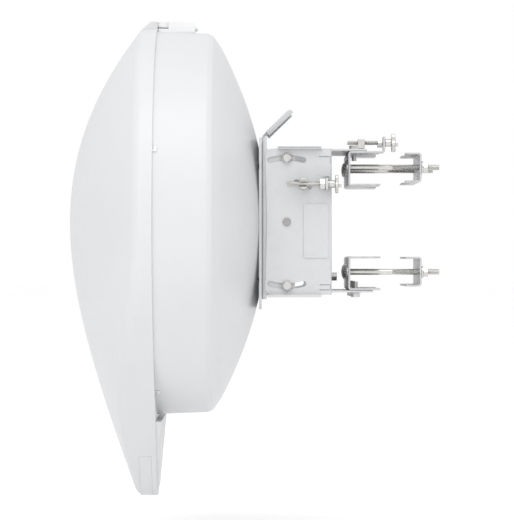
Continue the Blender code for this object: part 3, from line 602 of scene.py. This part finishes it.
def depth(reach, turn):
    """The radome's depth in front of the rim plane: a bowl above, a long slope to the chin."""
    bowl = 19.7 * (reach / 108.0) ** 2.14
    slope = math.hypot(61.5, 0.412 * reach) - 61.5
    down = max(math.cos(turn), 0.0) ** 2
    return RADOME_DEPTH - down * slope - (1 - down) * bowl


def turns_between(first, last, steps):
    return [first + (last - first) * i / steps for i in range(steps)]


def rim_turns():
    """Angles round the rim, closer together on the chin."""
    right = (turns_between(0, CHIN_TURN, 22) + turns_between(CHIN_TURN, TANGENT, 20)
             + turns_between(TANGENT, math.pi, 84))
    left = [-turn for turn in reversed(right[1:])]
    return right + [math.pi] + left


def edge_curve(turn, steps=8):
    """(reach, depth) points that round the front over into the side wall."""
    edge = rim_distance(turn) - EDGE_ROUND
    top = depth(edge, turn)
    slope = (depth(edge - 1, turn) - top) * EDGE_ROUND
    drop = 11.0
    points = []
    for i in range(1, steps + 1):
        t = i / steps
        out = EDGE_ROUND * (2 * t * (1 - t) + t * t)
        down = 2 * t * (1 - t) * slope + t * t * drop
        points.append((edge + out, top - down))
    return points


def radome_skin():
    """The outer surface, from its centre over the rounded edge to the rim."""
    shape = bmesh.new()
    turns = rim_turns()
    front_steps, wall_steps = 44, 4
    lines = []
    for turn in turns:
        line = []
        for i in range(1, front_steps + 1):
            reach = (rim_distance(turn) - EDGE_ROUND) * i / front_steps
            line.append((reach, depth(reach, turn)))
        edge = edge_curve(turn)
        low = edge[-1][1]
        walls = [(rim_distance(turn), low * (1 - i / wall_steps))
                 for i in range(1, wall_steps + 1)]
        lines.append([(RIM_X - forward, reach * math.sin(turn), -reach * math.cos(turn))
                      for reach, forward in line + edge + walls])
    centre = shape.verts.new((RIM_X * MM - RADOME_DEPTH * MM, 0, 0))
    verts = [[shape.verts.new(Vector(point) * MM) for point in line] for line in lines]
    for here, beyond in zip(verts, verts[1:] + verts[:1]):
        shape.faces.new((centre, here[0], beyond[0]))
        for i in range(len(here) - 1):
            shape.faces.new((here[i], here[i + 1], beyond[i + 1], beyond[i]))
    bmesh.ops.recalc_face_normals(shape, faces=shape.faces)
    return shape


def thickened(obj, wall):
    solid = obj.modifiers.new("wall", "SOLIDIFY")
    solid.thickness = wall * MM
    solid.offset = -1
    solid.use_even_offset = True
    return applied(obj)


def radome():
    obj = thickened(mesh_object("radome_skin", radome_skin()), RADOME_WALL)
    lug = rounded([(RIM_X - GAP, 210.9, 0), (RIM_X - 7.5, 210.9, 5), (RIM_X - 16.4, 202.7, 12),
                   (RIM_X - 22.5, 194.9, 0), (RIM_X - 19, 196, 0), (RIM_X - 12, 201, 3),
                   (RIM_X - GAP, 201.2, 0)])
    obj = join(obj, soften(plate([lug], XZ_PLANE, -14, 28), 1.0, 3))
    obj = cut(obj, block((-250.6, -9.3, 204.5), (-240, 9.3, 215)))
    bar = turned((CATCH[0], -12, CATCH[1]), (0, 1, 0), cone_rings(0, 24, 1.2, 1.2), sides=24)
    obj = join(obj, bar)
    crease = 0.06
    obj = cut(obj, block((COVER_FRONT_X - crease, -100, -300),
                         (COVER_REAR_X + crease, 100, COVER_TOP_Z + crease)))
    stand_in(smooth(obj, 38), "radome")


def chin_turns(edge):
    """Angles across the chin, out to edge each way."""
    return (turns_between(-edge, -CHIN_TURN, 8) + turns_between(-CHIN_TURN, CHIN_TURN, 48)
            + turns_between(CHIN_TURN, edge, 8) + [edge])


def chin_edge(level, inset=0.0):
    """The angle at which the chin's straight side crosses a level."""
    return math.atan2((RIM_RADIUS - inset + level * math.cos(TANGENT)) / math.sin(TANGENT),
                      -level)


def chin_cover():
    """A wedge behind the chin, thick at its straight top edge."""
    top, bottom = span("chin_cover")[1].z, span("chin_cover")[0].z
    thin, thick = 0.8, 5.7
    inset = 1.0
    loop = [(y, max(z, bottom)) for y, z in
            (rim_point(turn, inset) for turn in chin_turns(chin_edge(top, inset)))]
    sunk = 0.8
    obj = plate([loop], YZ_PLANE, RIM_X - sunk, thick + GAP + sunk)
    for vert in obj.data.vertices:
        if vert.co.x > (RIM_X + GAP + thick / 2) * MM:
            share = (vert.co.z / MM - bottom) / (top - bottom)
            vert.co.x = (RIM_X + GAP + thin + (thick - thin) * share) * MM
    stand_in(soften(obj, 0.5, 3), "chin_cover")


def port_cover():
    """A U that closes the cable opening round the foot of the chin."""
    turns = chin_turns(chin_edge(COVER_TOP_Z))
    outer = [(y, min(z, COVER_TOP_Z)) for y, z in (rim_point(turn) for turn in turns)]
    inner = [(y, min(z, COVER_TOP_Z)) for y, z in (rim_point(turn, 2.2) for turn in turns)]
    obj = plate([outer + inner[::-1]], YZ_PLANE, COVER_FRONT_X, COVER_REAR_X - COVER_FRONT_X)
    stand_in(soften(obj, 0.35, 2), "port_cover")


def rim_clips():
    for i, angle in enumerate(CLIP_ANGLES):
        clip = block((RIM_X - 0.4, SHELL_RADIUS - 0.4, -2.5),
                     (RIM_X + 4.5, SHELL_RADIUS + 1.5, 2.5))
        clip = cut(soften(clip, 0.3, 2), block((RIM_X + 0.5, SHELL_RADIUS + 0.1, -2.1),
                                               (RIM_X + 1.9, 210, 2.1)))
        clip.data.transform(Matrix.Rotation(math.radians(angle), 4, "X"))
        stand_in(clip, f"rim_clip_{i + 1}")


# ---------------------------------------------------------------- rear shell and latch

def rear_shell():
    """A drum that runs into a bowl, with a flat boss for the rear plate."""
    bowl = [(-129.2 - 0.00143 * radius ** 2, radius, 0) for radius in range(184, 83, -5)]
    profile = rounded([(RIM_X - 1.2, SHELL_RADIUS, 0), (-190.5, SHELL_REAR_RADIUS, 8),
                       (-185.2, 195.2, 6), *bowl, (SHELL_REAR_X, BOSS_RADIUS, 1.5),
                       (SHELL_REAR_X, 0, 0)])
    shape = bmesh.new()
    verts = [shape.verts.new((radius * MM, 0, -x * MM)) for x, radius in profile]
    for pair in zip(verts, verts[1:]):
        shape.edges.new(pair)
    obj = mesh_object("shell_profile", shape)
    obj.rotation_euler = (0, -math.pi / 2, 0)
    screw = obj.modifiers.new("turn", "SCREW")
    screw.steps = 180
    screw.render_steps = 180
    screw.use_merge_vertices = True
    screw.merge_threshold = 0.01 * MM
    stand_in(smooth(thickened(obj, SHELL_WALL), 28), "rear_shell")


def top_latch():
    """A lever in a housing on the shell, hooked over the bar in the radome's lug."""
    side = rounded([(-243.2, 199.0, 0), (-204.8, 198.4, 1), (-204.8, 210.9, 5.5),
                    (-232.5, 210.9, 0.8), (-232.5, 203.0, 0.6), (-243.2, 203.0, 0)])
    pin_hole = circle(LATCH, 1.8, 24)
    housing = soften(plate([side], XZ_PLANE, -14, 28), 0.8, 3)
    housing = cut(housing, block((-250, -9.3, 202.2), (-208, 9.3, 215)),
                  drill((LATCH[0], -10.5, LATCH[1]), (0, 1, 0), 21, 1.8))
    stud = turned((-206, 0, 203.4), (1, 0, 0),
                  round_rings(0, 3.9, 2.4, 0.5) + cone_rings(3.9, 0.4, 1.5, 1.5))
    # The housing takes the lightened white plastic, which paints light onto it.
    stand_in(smooth(join(housing, stud)), "latch_housing", finish=FINISHES["latch_plastic"])
    hook = [(-250.3, 208.6), (CATCH[0] + 1.6, 208.6), (CATCH[0] + 1.6, 205.0), (-214, 203.4)]
    heel = arc(LATCH, 2.9, -110, 60, 16)
    lever = plate([hook + heel + [(-216, 210.4), (-250.3, 210.4)], pin_hole], XZ_PLANE, -9, 18)
    for x in (-246, -243, -240):
        groove = turned((x, -7, 210.9), (0, 1, 0), cone_rings(0, 14, 0.7, 0.7), sides=16)
        lever = cut(lever, groove)
    stand_in(soften(lever, 0.3, 2), "latch")
    pin = turned((LATCH[0], -10, LATCH[1]), (0, 1, 0), round_rings(0, 20, 1.5, 0.3), sides=24)
    stand_in(pin, "latch_pin")


# ---------------------------------------------------------------- dish side of the bracket

def plate_screws():
    return [(side * SCREW_AT, up * SCREW_AT) for side in (-1, 1) for up in (1, -1)]


def rear_plate():
    low, high = span("rear_plate")
    edge = rounded([(low.y, low.z, 10), (high.y, low.z, 10), (high.y, high.z, 10),
                    (low.y, high.z, 10)])
    holes = [circle(at, 2.6) for at in plate_screws()]
    stand_in(soften(plate([edge, *holes], YZ_PLANE, REAR_PLATE_X, REAR_PLATE_THICK)),
             "rear_plate")
    for i, (y, z) in enumerate(plate_screws()):
        start, end = span(f"rear_plate_screw_{i + 1}")
        rings = (thread_rings(0, 6, 2.2, 0.8) + cone_rings(6, 4.0, 2.2, 2.2)
                 + round_rings(10.0, 1.6, 4.6, 0.2) + cone_rings(11.6, end.x - start.x - 11.6,
                                                                4.1, 2.9))
        screw = turned((start.x, y, z), (1, 0, 0), rings, sides=36)
        socket = turned((end.x - 1.5, y, z), (1, 0, 0),
                        [(0, lambda turn: hex_reach(1.7, turn)),
                         (4, lambda turn: hex_reach(1.7, turn))], sides=36)
        stand_in(smooth(cut(screw, socket)), f"rear_plate_screw_{i + 1}")


def tilt_ear(side):
    """A folded angle: its foot is screwed to the rear plate, its ear holds pivot and bolts."""
    node = "tilt_ear_near" if side < 0 else "tilt_ear_far"
    middle = side * (EAR_Y + SHEET / 2)
    foot_x = EAR_FOOT_X + SHEET / 2
    strip = folded([(foot_x, side * 44), (foot_x, middle), (-60, middle)], SHEET, 3)
    obj = plate([strip], XY_PLANE, -79, 166)
    lobe = TILT_X + 8.5
    edge = [(EAR_FOOT_X - 2, -79.5, 0), (EAR_FOOT_X + 5, -79.5, 0), (EAR_FOOT_X + 5, -74, 2),
            (lobe, -74, 8)]
    if side < 0:
        edge += [(lobe, 26, 8), (TRUNNION_X + 7, 30, 7), (TRUNNION_X + 7, 47, 7),
                 (lobe, 50, 6)]
    edge += [(lobe, 74, 8), (EAR_FOOT_X + 5, 74, 2), (EAR_FOOT_X + 5, 87.5, 0),
             (EAR_FOOT_X - 2, 87.5, 0)]
    holes = [circle((TILT_X, 0), PIN_HOLE), circle((TILT_X, LOCK_RADIUS), M5_HOLE),
             circle((TILT_X, -LOCK_RADIUS), M5_HOLE)]
    if side < 0:
        holes.append(circle((TRUNNION_X, TRUNNION_Z), TRUNNION_NECK + GAP))
    low = min(side * 40, side * (EAR_Y + SHEET + 3))
    outline = plate([rounded(edge), *holes], XZ_PLANE, low, EAR_Y + SHEET - 37)
    obj = combine(obj, outline, "INTERSECT")
    drills = [drill((EAR_FOOT_X - 3, side * SCREW_AT, up * SCREW_AT), (1, 0, 0), 8, 2.6)
              for up in (1, -1)]
    stand_in(soften(cut(obj, *drills)), node)


def lock_bolts():
    """Bolts held in the ears, with a washer and nut that slide on the cheeks."""
    spots = ((-1, 1), (-1, -1), (1, 1), (1, -1))
    for i, (side, up) in enumerate(spots):
        rings = (cone_rings(0, 0.6, 2.3, M5_RADIUS) + hex_rings(0.6, 3.3, M5_HEX)
                 + cone_rings(3.9, 4.9, M5_RADIUS, M5_RADIUS) + round_rings(8.8, 1.1, 5.35, 0.4)
                 + hex_rings(9.9, 2.2, 4.7, (True, False)) + cone_rings(12.2, 0.9, 4.6, 3.6))
        bolt = turned((TILT_X, side * 73.5, up * LOCK_RADIUS), (0, side, 0), rings)
        stand_in(bolt, f"elevation_lock_bolt_{i + 1}")


def aiming_handle():
    """A bent tab above the rear plate, with a lip down each side that is rounded at its tip."""
    along = Vector((math.cos(HANDLE_TILT), 0, math.sin(HANDLE_TILT)))
    normal = Vector((-math.sin(HANDLE_TILT), 0, math.cos(HANDLE_TILT)))
    bend = Vector((EAR_FOOT_X + 1, 0, 90))
    end = bend + along * (HANDLE_LENGTH - 3)
    path = [(bend.x, 60), (bend.x, bend.z), (end.x, end.z)]
    foot = plate([folded(path, 1.6, 4)], XZ_PLANE, -20, 40)
    lips = folded([(-39, -4.5), (-39, 0), (39, 0), (39, -4.5)], 2.0, 2)
    wide = plate([lips], XY_PLANE, 5, HANDLE_LENGTH - 5)
    turned_up = Matrix((Vector((0, 1, 0)), normal, along)).transposed().to_4x4()
    wide.data.transform(Matrix.Translation(bend * MM) @ turned_up)
    side_view = rounded([(2, 1.2, 0), (HANDLE_LENGTH, 1.2, 3.2), (HANDLE_LENGTH, -4.6, 1.2),
                         (2, -4.6, 2)])
    corners = [bend + along * u + normal * v for u, v in side_view]
    wide = combine(wide, plate([[(point.x, point.z) for point in corners]], XZ_PLANE, -50, 100),
                   "INTERSECT")
    stand_in(soften(join(foot, wide), 0.4, 3), "aiming_handle")


# ---------------------------------------------------------------- azimuth bracket

def cheek_outline():
    return rounded([(CHEEK_FRONT_X, CHEEK_LOW, 7), (WEB_X + 3, CHEEK_LOW, 0),
                    (WEB_X + 3, CHEEK_HIGH, 0), (CHEEK_FRONT_X, CHEEK_HIGH, 7),
                    (CHEEK_FRONT_X + 2, 0, 600)], 16)


def cheek_strip(side):
    """The cheek and its bend towards the web, seen from above."""
    middle = side * (CHEEK_Y + SHEET / 2)
    corner_x = WEB_X - SHEET / 2
    end = side * (ARM_HALF_WIDTH + 0.12)
    return folded([(CHEEK_FRONT_X - 5, middle), (corner_x, middle), (corner_x, end)], SHEET, 1.6)


def cheek_holes(side):
    """The tilt pivot and two arc slots, and in the near cheek the trunnion's slot and a
    relief above the screw's tab."""
    centre = (TILT_X, 0)
    holes = [circle(centre, PIN_HOLE)]
    for middle in (90, -90):
        holes.append(arc_slot(centre, LOCK_RADIUS, middle, SLOT_REACH, SLOT_HALF_WIDTH))
    if side < 0:
        lean = math.degrees(math.atan2(TRUNNION_Z, TRUNNION_X - TILT_X))
        reach = math.hypot(TRUNNION_Z, TRUNNION_X - TILT_X)
        holes.append(arc_slot(centre, reach, lean, TRUNNION_REACH, TRUNNION_NECK + GAP))
        relief_low, relief_high = SCREW_Z + 6.9, SCREW_Z + 8
        holes.append([(-72.3, relief_low), (-66, relief_low), (-66, relief_high),
                      (-72.3, relief_high)])
    return holes


def cheek_relief(obj, layer):
    """A raised pad, and marks where the sheet was relieved for the bends."""
    pad = rounded([(-92.2, -36.7, 1.5), (-67.0, -36.7, 1.5), (-67.0, 18.6, 1.5),
                   (-92.2, 18.6, 1.5)])
    low, high = layer(-0.5, PAD_PROUD)
    obj = join(obj, plate([pad], XZ_PLANE, low, high - low))
    marks = (((-76.6, 66.2), (-64.3, 67.2)), ((-65.6, 60.4), (-64.3, 67.2)),
             ((-76.0, -64.8), (-64.4, -63.8)), ((-76.0, -70.0), (-64.4, -69.0)),
             ((-65.6, -70.0), (-64.4, -63.8)))
    low, high = layer(-MARK_DEPTH, 3)
    for (front_x, low_z), (rear_x, high_z) in marks:
        obj = cut(obj, block((front_x, low, low_z), (rear_x, high, high_z)))
    return obj


def screw_tab():
    """The tab on the near cheek that the elevation screw's bush swings in."""
    root = -CHEEK_Y - 1.5
    edge = rounded([(-99.5, SCREW_Z - 6.2, 3.5), (root, SCREW_Z - 6.2, 0),
                    (root, SCREW_Z + 6.2, 0), (-99.5, SCREW_Z + 6.2, 3.5)])
    return plate([edge, circle((SCREW_Y, SCREW_Z), 3.7)], YZ_PLANE, BUSH_X - SHEET / 2, SHEET)


def cheek(side):
    """A side plate with a lip along the top and the foot."""
    face = side * (CHEEK_Y + SHEET)

    def layer(inner, outer):
        """Lowest and highest y between two heights above the cheek's outer face."""
        return sorted((face + side * inner, face + side * outer))

    strip = plate([cheek_strip(side)], XY_PLANE, CHEEK_LOW - 3, CHEEK_HIGH - CHEEK_LOW + 6)
    low = min(side * (ARM_HALF_WIDTH - 3), side * 90)
    outline = plate([cheek_outline(), *cheek_holes(side)], XZ_PLANE, low, 93 - ARM_HALF_WIDTH)
    obj = combine(strip, outline, "INTERSECT")
    low, high = layer(-1, LIP_REACH)
    for start_x, low_z, high_z in ((-119, CHEEK_HIGH - 0.3, CHEEK_HIGH + 1.9),
                                   (-129, CHEEK_LOW - 2.4, CHEEK_LOW + 0.3)):
        obj = join(obj, block((start_x, low, low_z), (-74.2, high, high_z)))
    obj = cheek_relief(obj, layer)
    low, high = layer(LIP_REACH - 1.5, LIP_REACH + 1)
    obj = cut(obj, block((-119.5, low, CHEEK_HIGH + 0.8), (-73, high, CHEEK_HIGH + 1.5)))
    if side < 0:
        obj = join(obj, screw_tab())
    stand_in(soften(obj, 0.3, 2), "cheek_near" if side < 0 else "cheek_far")


def web_and_arms():
    """A folded C: the web between the cheeks, and an arm above and below the clamps."""
    half = SHEET / 2
    low, high = span("azimuth_bracket")
    path = [(-27.4, UPPER_ARM_Z + half), (WEB_X - half, UPPER_ARM_Z + half),
            (WEB_X - half, LOWER_ARM_Z + half), (high.x, LOWER_ARM_Z + half)]
    obj = soften(plate([folded(path, SHEET, 3)], XZ_PLANE, low.y, high.y - low.y), 0.4, 3)
    obj = cut(obj, plate([notch_loop(-21, -31.5, 34)], XY_PLANE, low.z - 5, high.z - low.z + 10))
    obj = cut(obj, drill((PIVOT_X, 0, UPPER_ARM_Z - 5), (0, 0, 1), 12, M5_HOLE),
              drill((PIVOT_X, 0, LOWER_ARM_Z - 5), (0, 0, 1), 12, M5_HOLE),
              drill((POST_X, POST_Y, UPPER_ARM_Z - 5), (0, 0, 1), 12, M5_HOLE),
              drill((WEB_X - 6, 0, WEB_BOLT_Z), (1, 0, 0), 12, M5_HOLE))
    reach = math.hypot(PIVOT_X - LOCK_BOLT_X, LOCK_BOLT_Y)
    lean = math.degrees(math.atan2(PIVOT_X - LOCK_BOLT_X, LOCK_BOLT_Y))
    for side in (-1, 1):
        slot = arc_slot((PIVOT_X, 0), reach, side * (90 + lean), 7.3, SLOT_HALF_WIDTH)
        obj = cut(obj, plate([slot], XY_PLANE, LOWER_ARM_Z - 5, 12))
    stand_in(smooth(obj), "azimuth_bracket")


def tilt_pin():
    low, high = span("tilt_pin")
    head = 1.3
    long = high.y - low.y - 2 * head
    rings = (round_rings(0, head, 4, 0.4) + cone_rings(head, long, 3, 3)
             + round_rings(head + long, head, 4, 0.4))
    stand_in(turned((TILT_X, low.y, 0), (0, 1, 0), rings), "tilt_pin", finish=DULL_STEEL)


def web_bolt():
    low, high = span("web_bolt")
    rings = (cone_rings(0, 5.3, M5_RADIUS, M5_RADIUS) + round_rings(5.3, 1.2, 5.2, 0.2)
             + hex_rings(6.5, high.x - low.x - 6.5, 4.9))
    stand_in(turned((low.x, 0, WEB_BOLT_Z), (1, 0, 0), rings), "web_bolt")


# ---------------------------------------------------------------- fine adjustment

def knob(node, y, z, radius, ridges):
    """A thumb wheel: knurled rim and a dished face each side."""
    low, high = span(node)
    wide = high.x - low.x
    dish = 0.4
    rings = ([(dish, steady(radius * 0.62)), (0, steady(radius * 0.7))]
             + knurl_rings(0, wide, radius, ridges)
             + [(wide, steady(radius * 0.7)), (wide - dish, steady(radius * 0.62))])
    stand_in(turned((low.x, y, z), (1, 0, 0), rings, bore=2.5, sides=4 * ridges), node)


def elevation_screw():
    low, high = span("elevation_screw")
    rings = (thread_rings(0, 34.1, 2.65, 1.0) + hex_rings(34.1, 5.3, 5.75)
             + cone_rings(39.4, 13.7, 2.2, 2.2) + hex_rings(53.1, high.x - low.x - 53.1, 4.1))
    stand_in(turned((low.x, SCREW_Y, SCREW_Z), (1, 0, 0), rings), "elevation_screw")
    knob("elevation_knob", SCREW_Y, SCREW_Z, 9.4, 30)
    start = span("swivel_bush")[0].x
    rings = (cone_rings(0, 3.05, 3.1, 3.1) + round_rings(3.05, 1.05, 4.5, 0.2)
             + round_rings(4.1, 5.6, 3.75, 0.3))
    bush = turned((start, SCREW_Y, SCREW_Z), (1, 0, 0), rings, bore=2.5)
    stand_in(bush, "swivel_bush")


def trunnion():
    """A fork that swivels in the near ear, with the screw in its open groove."""
    low, high = span("trunnion")
    back = -83.0
    edge = rounded([(across, up, 3.8) for across, up in
                    ((low.x, low.z), (high.x, low.z), (high.x, high.z), (low.x, high.z))])
    obj = soften(plate([edge], XZ_PLANE, low.y, back - low.y), 0.7, 3)
    neck = turned((TRUNNION_X, back - 1, TRUNNION_Z), (0, 1, 0),
                  cone_rings(0, 6.6, TRUNNION_NECK, TRUNNION_NECK)
                  + round_rings(6.6, 2.0, 4.0, 0.3), sides=32)
    groove = block((TRUNNION_X - 20, low.y - 1, TRUNNION_Z - 3.25),
                   (TRUNNION_X + 20, SCREW_Y + 3, TRUNNION_Z + 3.95))
    stand_in(smooth(cut(join(obj, neck), groove)), "trunnion")


def azimuth_screw():
    low, high = span("azimuth_screw")
    rings = (thread_rings(0, 30.8, 2.3, 0.8) + hex_rings(30.8, 4.9, 5.6)
             + cone_rings(35.7, 3.2, 2.3, 2.3) + round_rings(38.9, 5.8, 4.1, 0.3)
             + cone_rings(44.7, 4.8, 2.3, 2.3) + hex_rings(49.5, high.x - low.x - 49.5, 4.1))
    stand_in(turned((low.x, POST_Y, POST_Z), (1, 0, 0), rings), "azimuth_screw")
    knob("azimuth_knob", POST_Y, POST_Z, 9.45, 30)


def azimuth_post():
    low, high = span("azimuth_post")
    foot = UPPER_ARM_Z + SHEET + GAP
    obj = block((low.x, low.y, foot), (high.x, high.y, high.z))
    pin = turned((POST_X, POST_Y, low.z), (0, 0, 1), cone_rings(0, 4, M5_RADIUS, M5_RADIUS))
    obj = join(obj, pin)
    hole = block((POST_X - 10, POST_Y - 3.7, POST_Z - 2.6),
                 (POST_X + 10, POST_Y + 2.6, POST_Z + 2.6))
    stand_in(soften(cut(obj, hole), 0.5, 3), "azimuth_post")


# ---------------------------------------------------------------- pole clamps

def notch_loop(tip_x, bottom_x, opening):
    beyond = tip_x + (tip_x - bottom_x) * 0.3
    wide = opening * 1.3
    return [(bottom_x, -6), (bottom_x, 6), (beyond, wide), (beyond, -wide)]


def clamp(node, web_x, tip_x, deep, bolt_z, section=None):
    """A C section across the pole, open towards it, with a V in each flange."""
    low, high = span(node)
    bottom, top = section or (low.z, high.z)
    inward = 1 if tip_x > web_x else -1
    half = SHEET / 2
    middle = web_x + inward * half
    path = [(tip_x, top - half), (middle, top - half), (middle, bottom + half),
            (tip_x, bottom + half)]
    obj = soften(plate([folded(path, SHEET, CLAMP_BEND)], XZ_PLANE, low.y, high.y - low.y),
                 0.4, 3)
    obj = cut(obj, plate([notch_loop(tip_x, tip_x - inward * deep, 34)], XY_PLANE, bottom - 5,
                         top - bottom + 10))
    for side in (-1, 1):
        obj = cut(obj, drill((web_x - inward * 4, side * BOLT_Y, bolt_z), (inward, 0, 0), 10,
                             BOLT_RADIUS + GAP))
    return obj


def front_clamps():
    section = (37.1, UPPER_ARM_Z - GAP)
    obj = clamp("upper_front_clamp", CLAMP_WEB_X, CLAMP_TIP_X, 17, UPPER_BOLT_Z, section)
    top = section[1] - SHEET / 2
    tab = plate([folded([(-22, top), (-9.9, top), (-9.9, 87.5)], SHEET, CLAMP_BEND)], XZ_PLANE,
                -80, 19)
    obj = join(obj, soften(tab, 0.4, 3))
    obj = cut(obj, drill((-16, POST_Y, POST_Z), (1, 0, 0), 12, 2.7),
              drill((PIVOT_X, 0, 66), (0, 0, 1), 10, M5_HOLE))
    stand_in(smooth(obj), "upper_front_clamp")
    obj = clamp("lower_front_clamp", CLAMP_WEB_X, CLAMP_TIP_X, 17, LOWER_BOLT_Z)
    for x, y in ((PIVOT_X, 0), (LOCK_BOLT_X, LOCK_BOLT_Y), (LOCK_BOLT_X, -LOCK_BOLT_Y)):
        obj = cut(obj, drill((x, y, -74), (0, 0, 1), 10, M5_HOLE))
    stand_in(smooth(obj), "lower_front_clamp")


def rear_jaws():
    for node, bolt_z in (("upper_rear_jaw", UPPER_BOLT_Z), ("lower_rear_jaw", LOWER_BOLT_Z)):
        stand_in(smooth(clamp(node, 29.3, 13.0, 9, bolt_z)), node)


def azimuth_bolts():
    start, end = span("azimuth_pivot_upper")
    rings = (cone_rings(0, 10.2, M5_RADIUS, M5_RADIUS) + round_rings(10.2, 1.3, 5.7, 0.2)
             + hex_rings(11.5, end.z - start.z - 11.5, 5.2))
    stand_in(turned((PIVOT_X, 0, start.z), (0, 0, 1), rings), "azimuth_pivot_upper")
    spots = (("azimuth_pivot_lower", PIVOT_X, 0),
             ("azimuth_lock_bolt_1", LOCK_BOLT_X, -LOCK_BOLT_Y),
             ("azimuth_lock_bolt_2", LOCK_BOLT_X, LOCK_BOLT_Y))
    for node, x, y in spots:
        rings = (thread_rings(0, 7, M5_RADIUS, 0.8)[::-1]
                 + cone_rings(7, 4.4, M5_RADIUS, M5_RADIUS)
                 + round_rings(11.4, 1.1, 5.2, 0.2) + hex_rings(12.5, 3.6, M5_HEX))
        rings = sorted(rings, key=lambda ring: ring[0])
        stand_in(turned((x, y, span(node)[1].z), (0, 0, -1), rings), node)


def clamp_bolts():
    """Carriage bolts: a domed head, a plain shank and a thread that the jaw's nut runs on."""
    for i in range(4):
        node = f"carriage_bolt_{i + 1}"
        low, high = span(node)
        y, z = (low.y + high.y) / 2, (low.z + high.z) / 2
        plain_end = CLAMP_THREAD_X - low.x
        rings = (dome_rings(0, 3.4, 8.1)
                 + cone_rings(3.4, plain_end - 4.4, BOLT_RADIUS, BOLT_RADIUS)
                 + cone_rings(plain_end - 0.6, 0.5, 2.6, 2.6)
                 + thread_rings(plain_end, high.x - low.x - plain_end, BOLT_RADIUS, 1.0))
        stand_in(turned((low.x, y, z), (1, 0, 0), rings), node)


def clamp_nuts():
    for i in range(4):
        node = f"clamp_nut_{i + 1}"
        low, high = span(node)
        y, z = (low.y + high.y) / 2, (low.z + high.z) / 2
        rings = round_rings(0, 1.6, 6.5, 0.2) + hex_rings(1.6, high.x - low.x - 1.6, 5.8)
        stand_in(turned((low.x, y, z), (1, 0, 0), rings, bore=3.2), node)


# ---------------------------------------------------------------- stage

def floor():
    """A pale floor, low enough for the dish to tilt above it."""
    shape = bmesh.new()
    bmesh.ops.create_circle(shape, cap_ends=True, segments=96, radius=30)
    obj = mesh_object("floor", shape)
    obj.location.z = FLOOR_Z * MM
    finish = Finish("floor_look", (0.93, 0.93, 0.93), 0.9)
    finish.tint(finish.noise(400, 2), 0.004)
    finish.shader.inputs["Emission Color"].default_value = (1, 1, 1, 1)
    finish.shader.inputs["Emission Strength"].default_value = 0.06
    obj.data.materials.append(finish.material)


def area_light(name, location, target, size, power):
    light = bpy.data.lights.new(name, "AREA")
    light.shape = "RECTANGLE"
    light.size, light.size_y = size
    light.energy = power
    obj = bpy.data.objects.new(name, light)
    obj.location = location
    obj.rotation_euler = (Vector(target) - Vector(location)).to_track_quat("-Z", "Y").to_euler()
    bpy.context.scene.collection.objects.link(obj)


def light():
    world = bpy.data.worlds.new("studio")
    world.use_nodes = True
    background = world.node_tree.nodes["Background"]
    background.inputs["Color"].default_value = (1, 1, 1, 1)
    background.inputs["Strength"].default_value = 1.0
    bpy.context.scene.world = world
    middle = (-0.15, 0, -0.03)
    area_light("top_softbox", (-0.2, -1.5, 2.3), middle, (2.4, 1.6), 24)
    area_light("front_softbox", (-1.2, -3.0, 1.0), middle, (1.6, 1.4), 14)
    area_light("rear_softbox", (2.0, -2.6, 1.0), middle, (1.4, 1.4), 3)
    bpy.context.scene.view_settings.view_transform = "Standard"


def camera():
    """Level with the object's middle, square to its side."""
    distance = 3.1
    view_height = 0.546  # metres across the frame's height at the dish's axis
    data = bpy.data.cameras.new("camera")
    data.sensor_fit = "VERTICAL"
    data.sensor_height = 36.0
    data.lens = data.sensor_height * distance / view_height
    obj = bpy.data.objects.new("camera", data)
    obj.location = (-0.140, -distance, -0.0389)
    obj.rotation_euler = (math.pi / 2, 0, 0)
    bpy.context.scene.collection.objects.link(obj)
    bpy.context.scene.camera = obj


# ---------------------------------------------------------------- build

for node in frame["nodes"].values():
    node.data.materials.clear()
    node.data.materials.append(FINISHES[SLOT[node.name]])

radome()
chin_cover()
port_cover()
rim_clips()
rear_shell()
top_latch()
rear_plate()
for side in (-1, 1):
    tilt_ear(side)
    cheek(side)
lock_bolts()
aiming_handle()
web_and_arms()
tilt_pin()
web_bolt()
elevation_screw()
trunnion()
azimuth_screw()
azimuth_post()
front_clamps()
rear_jaws()
azimuth_bolts()
clamp_bolts()
clamp_nuts()
floor()
light()
camera()

bpy.context.view_layer.update()
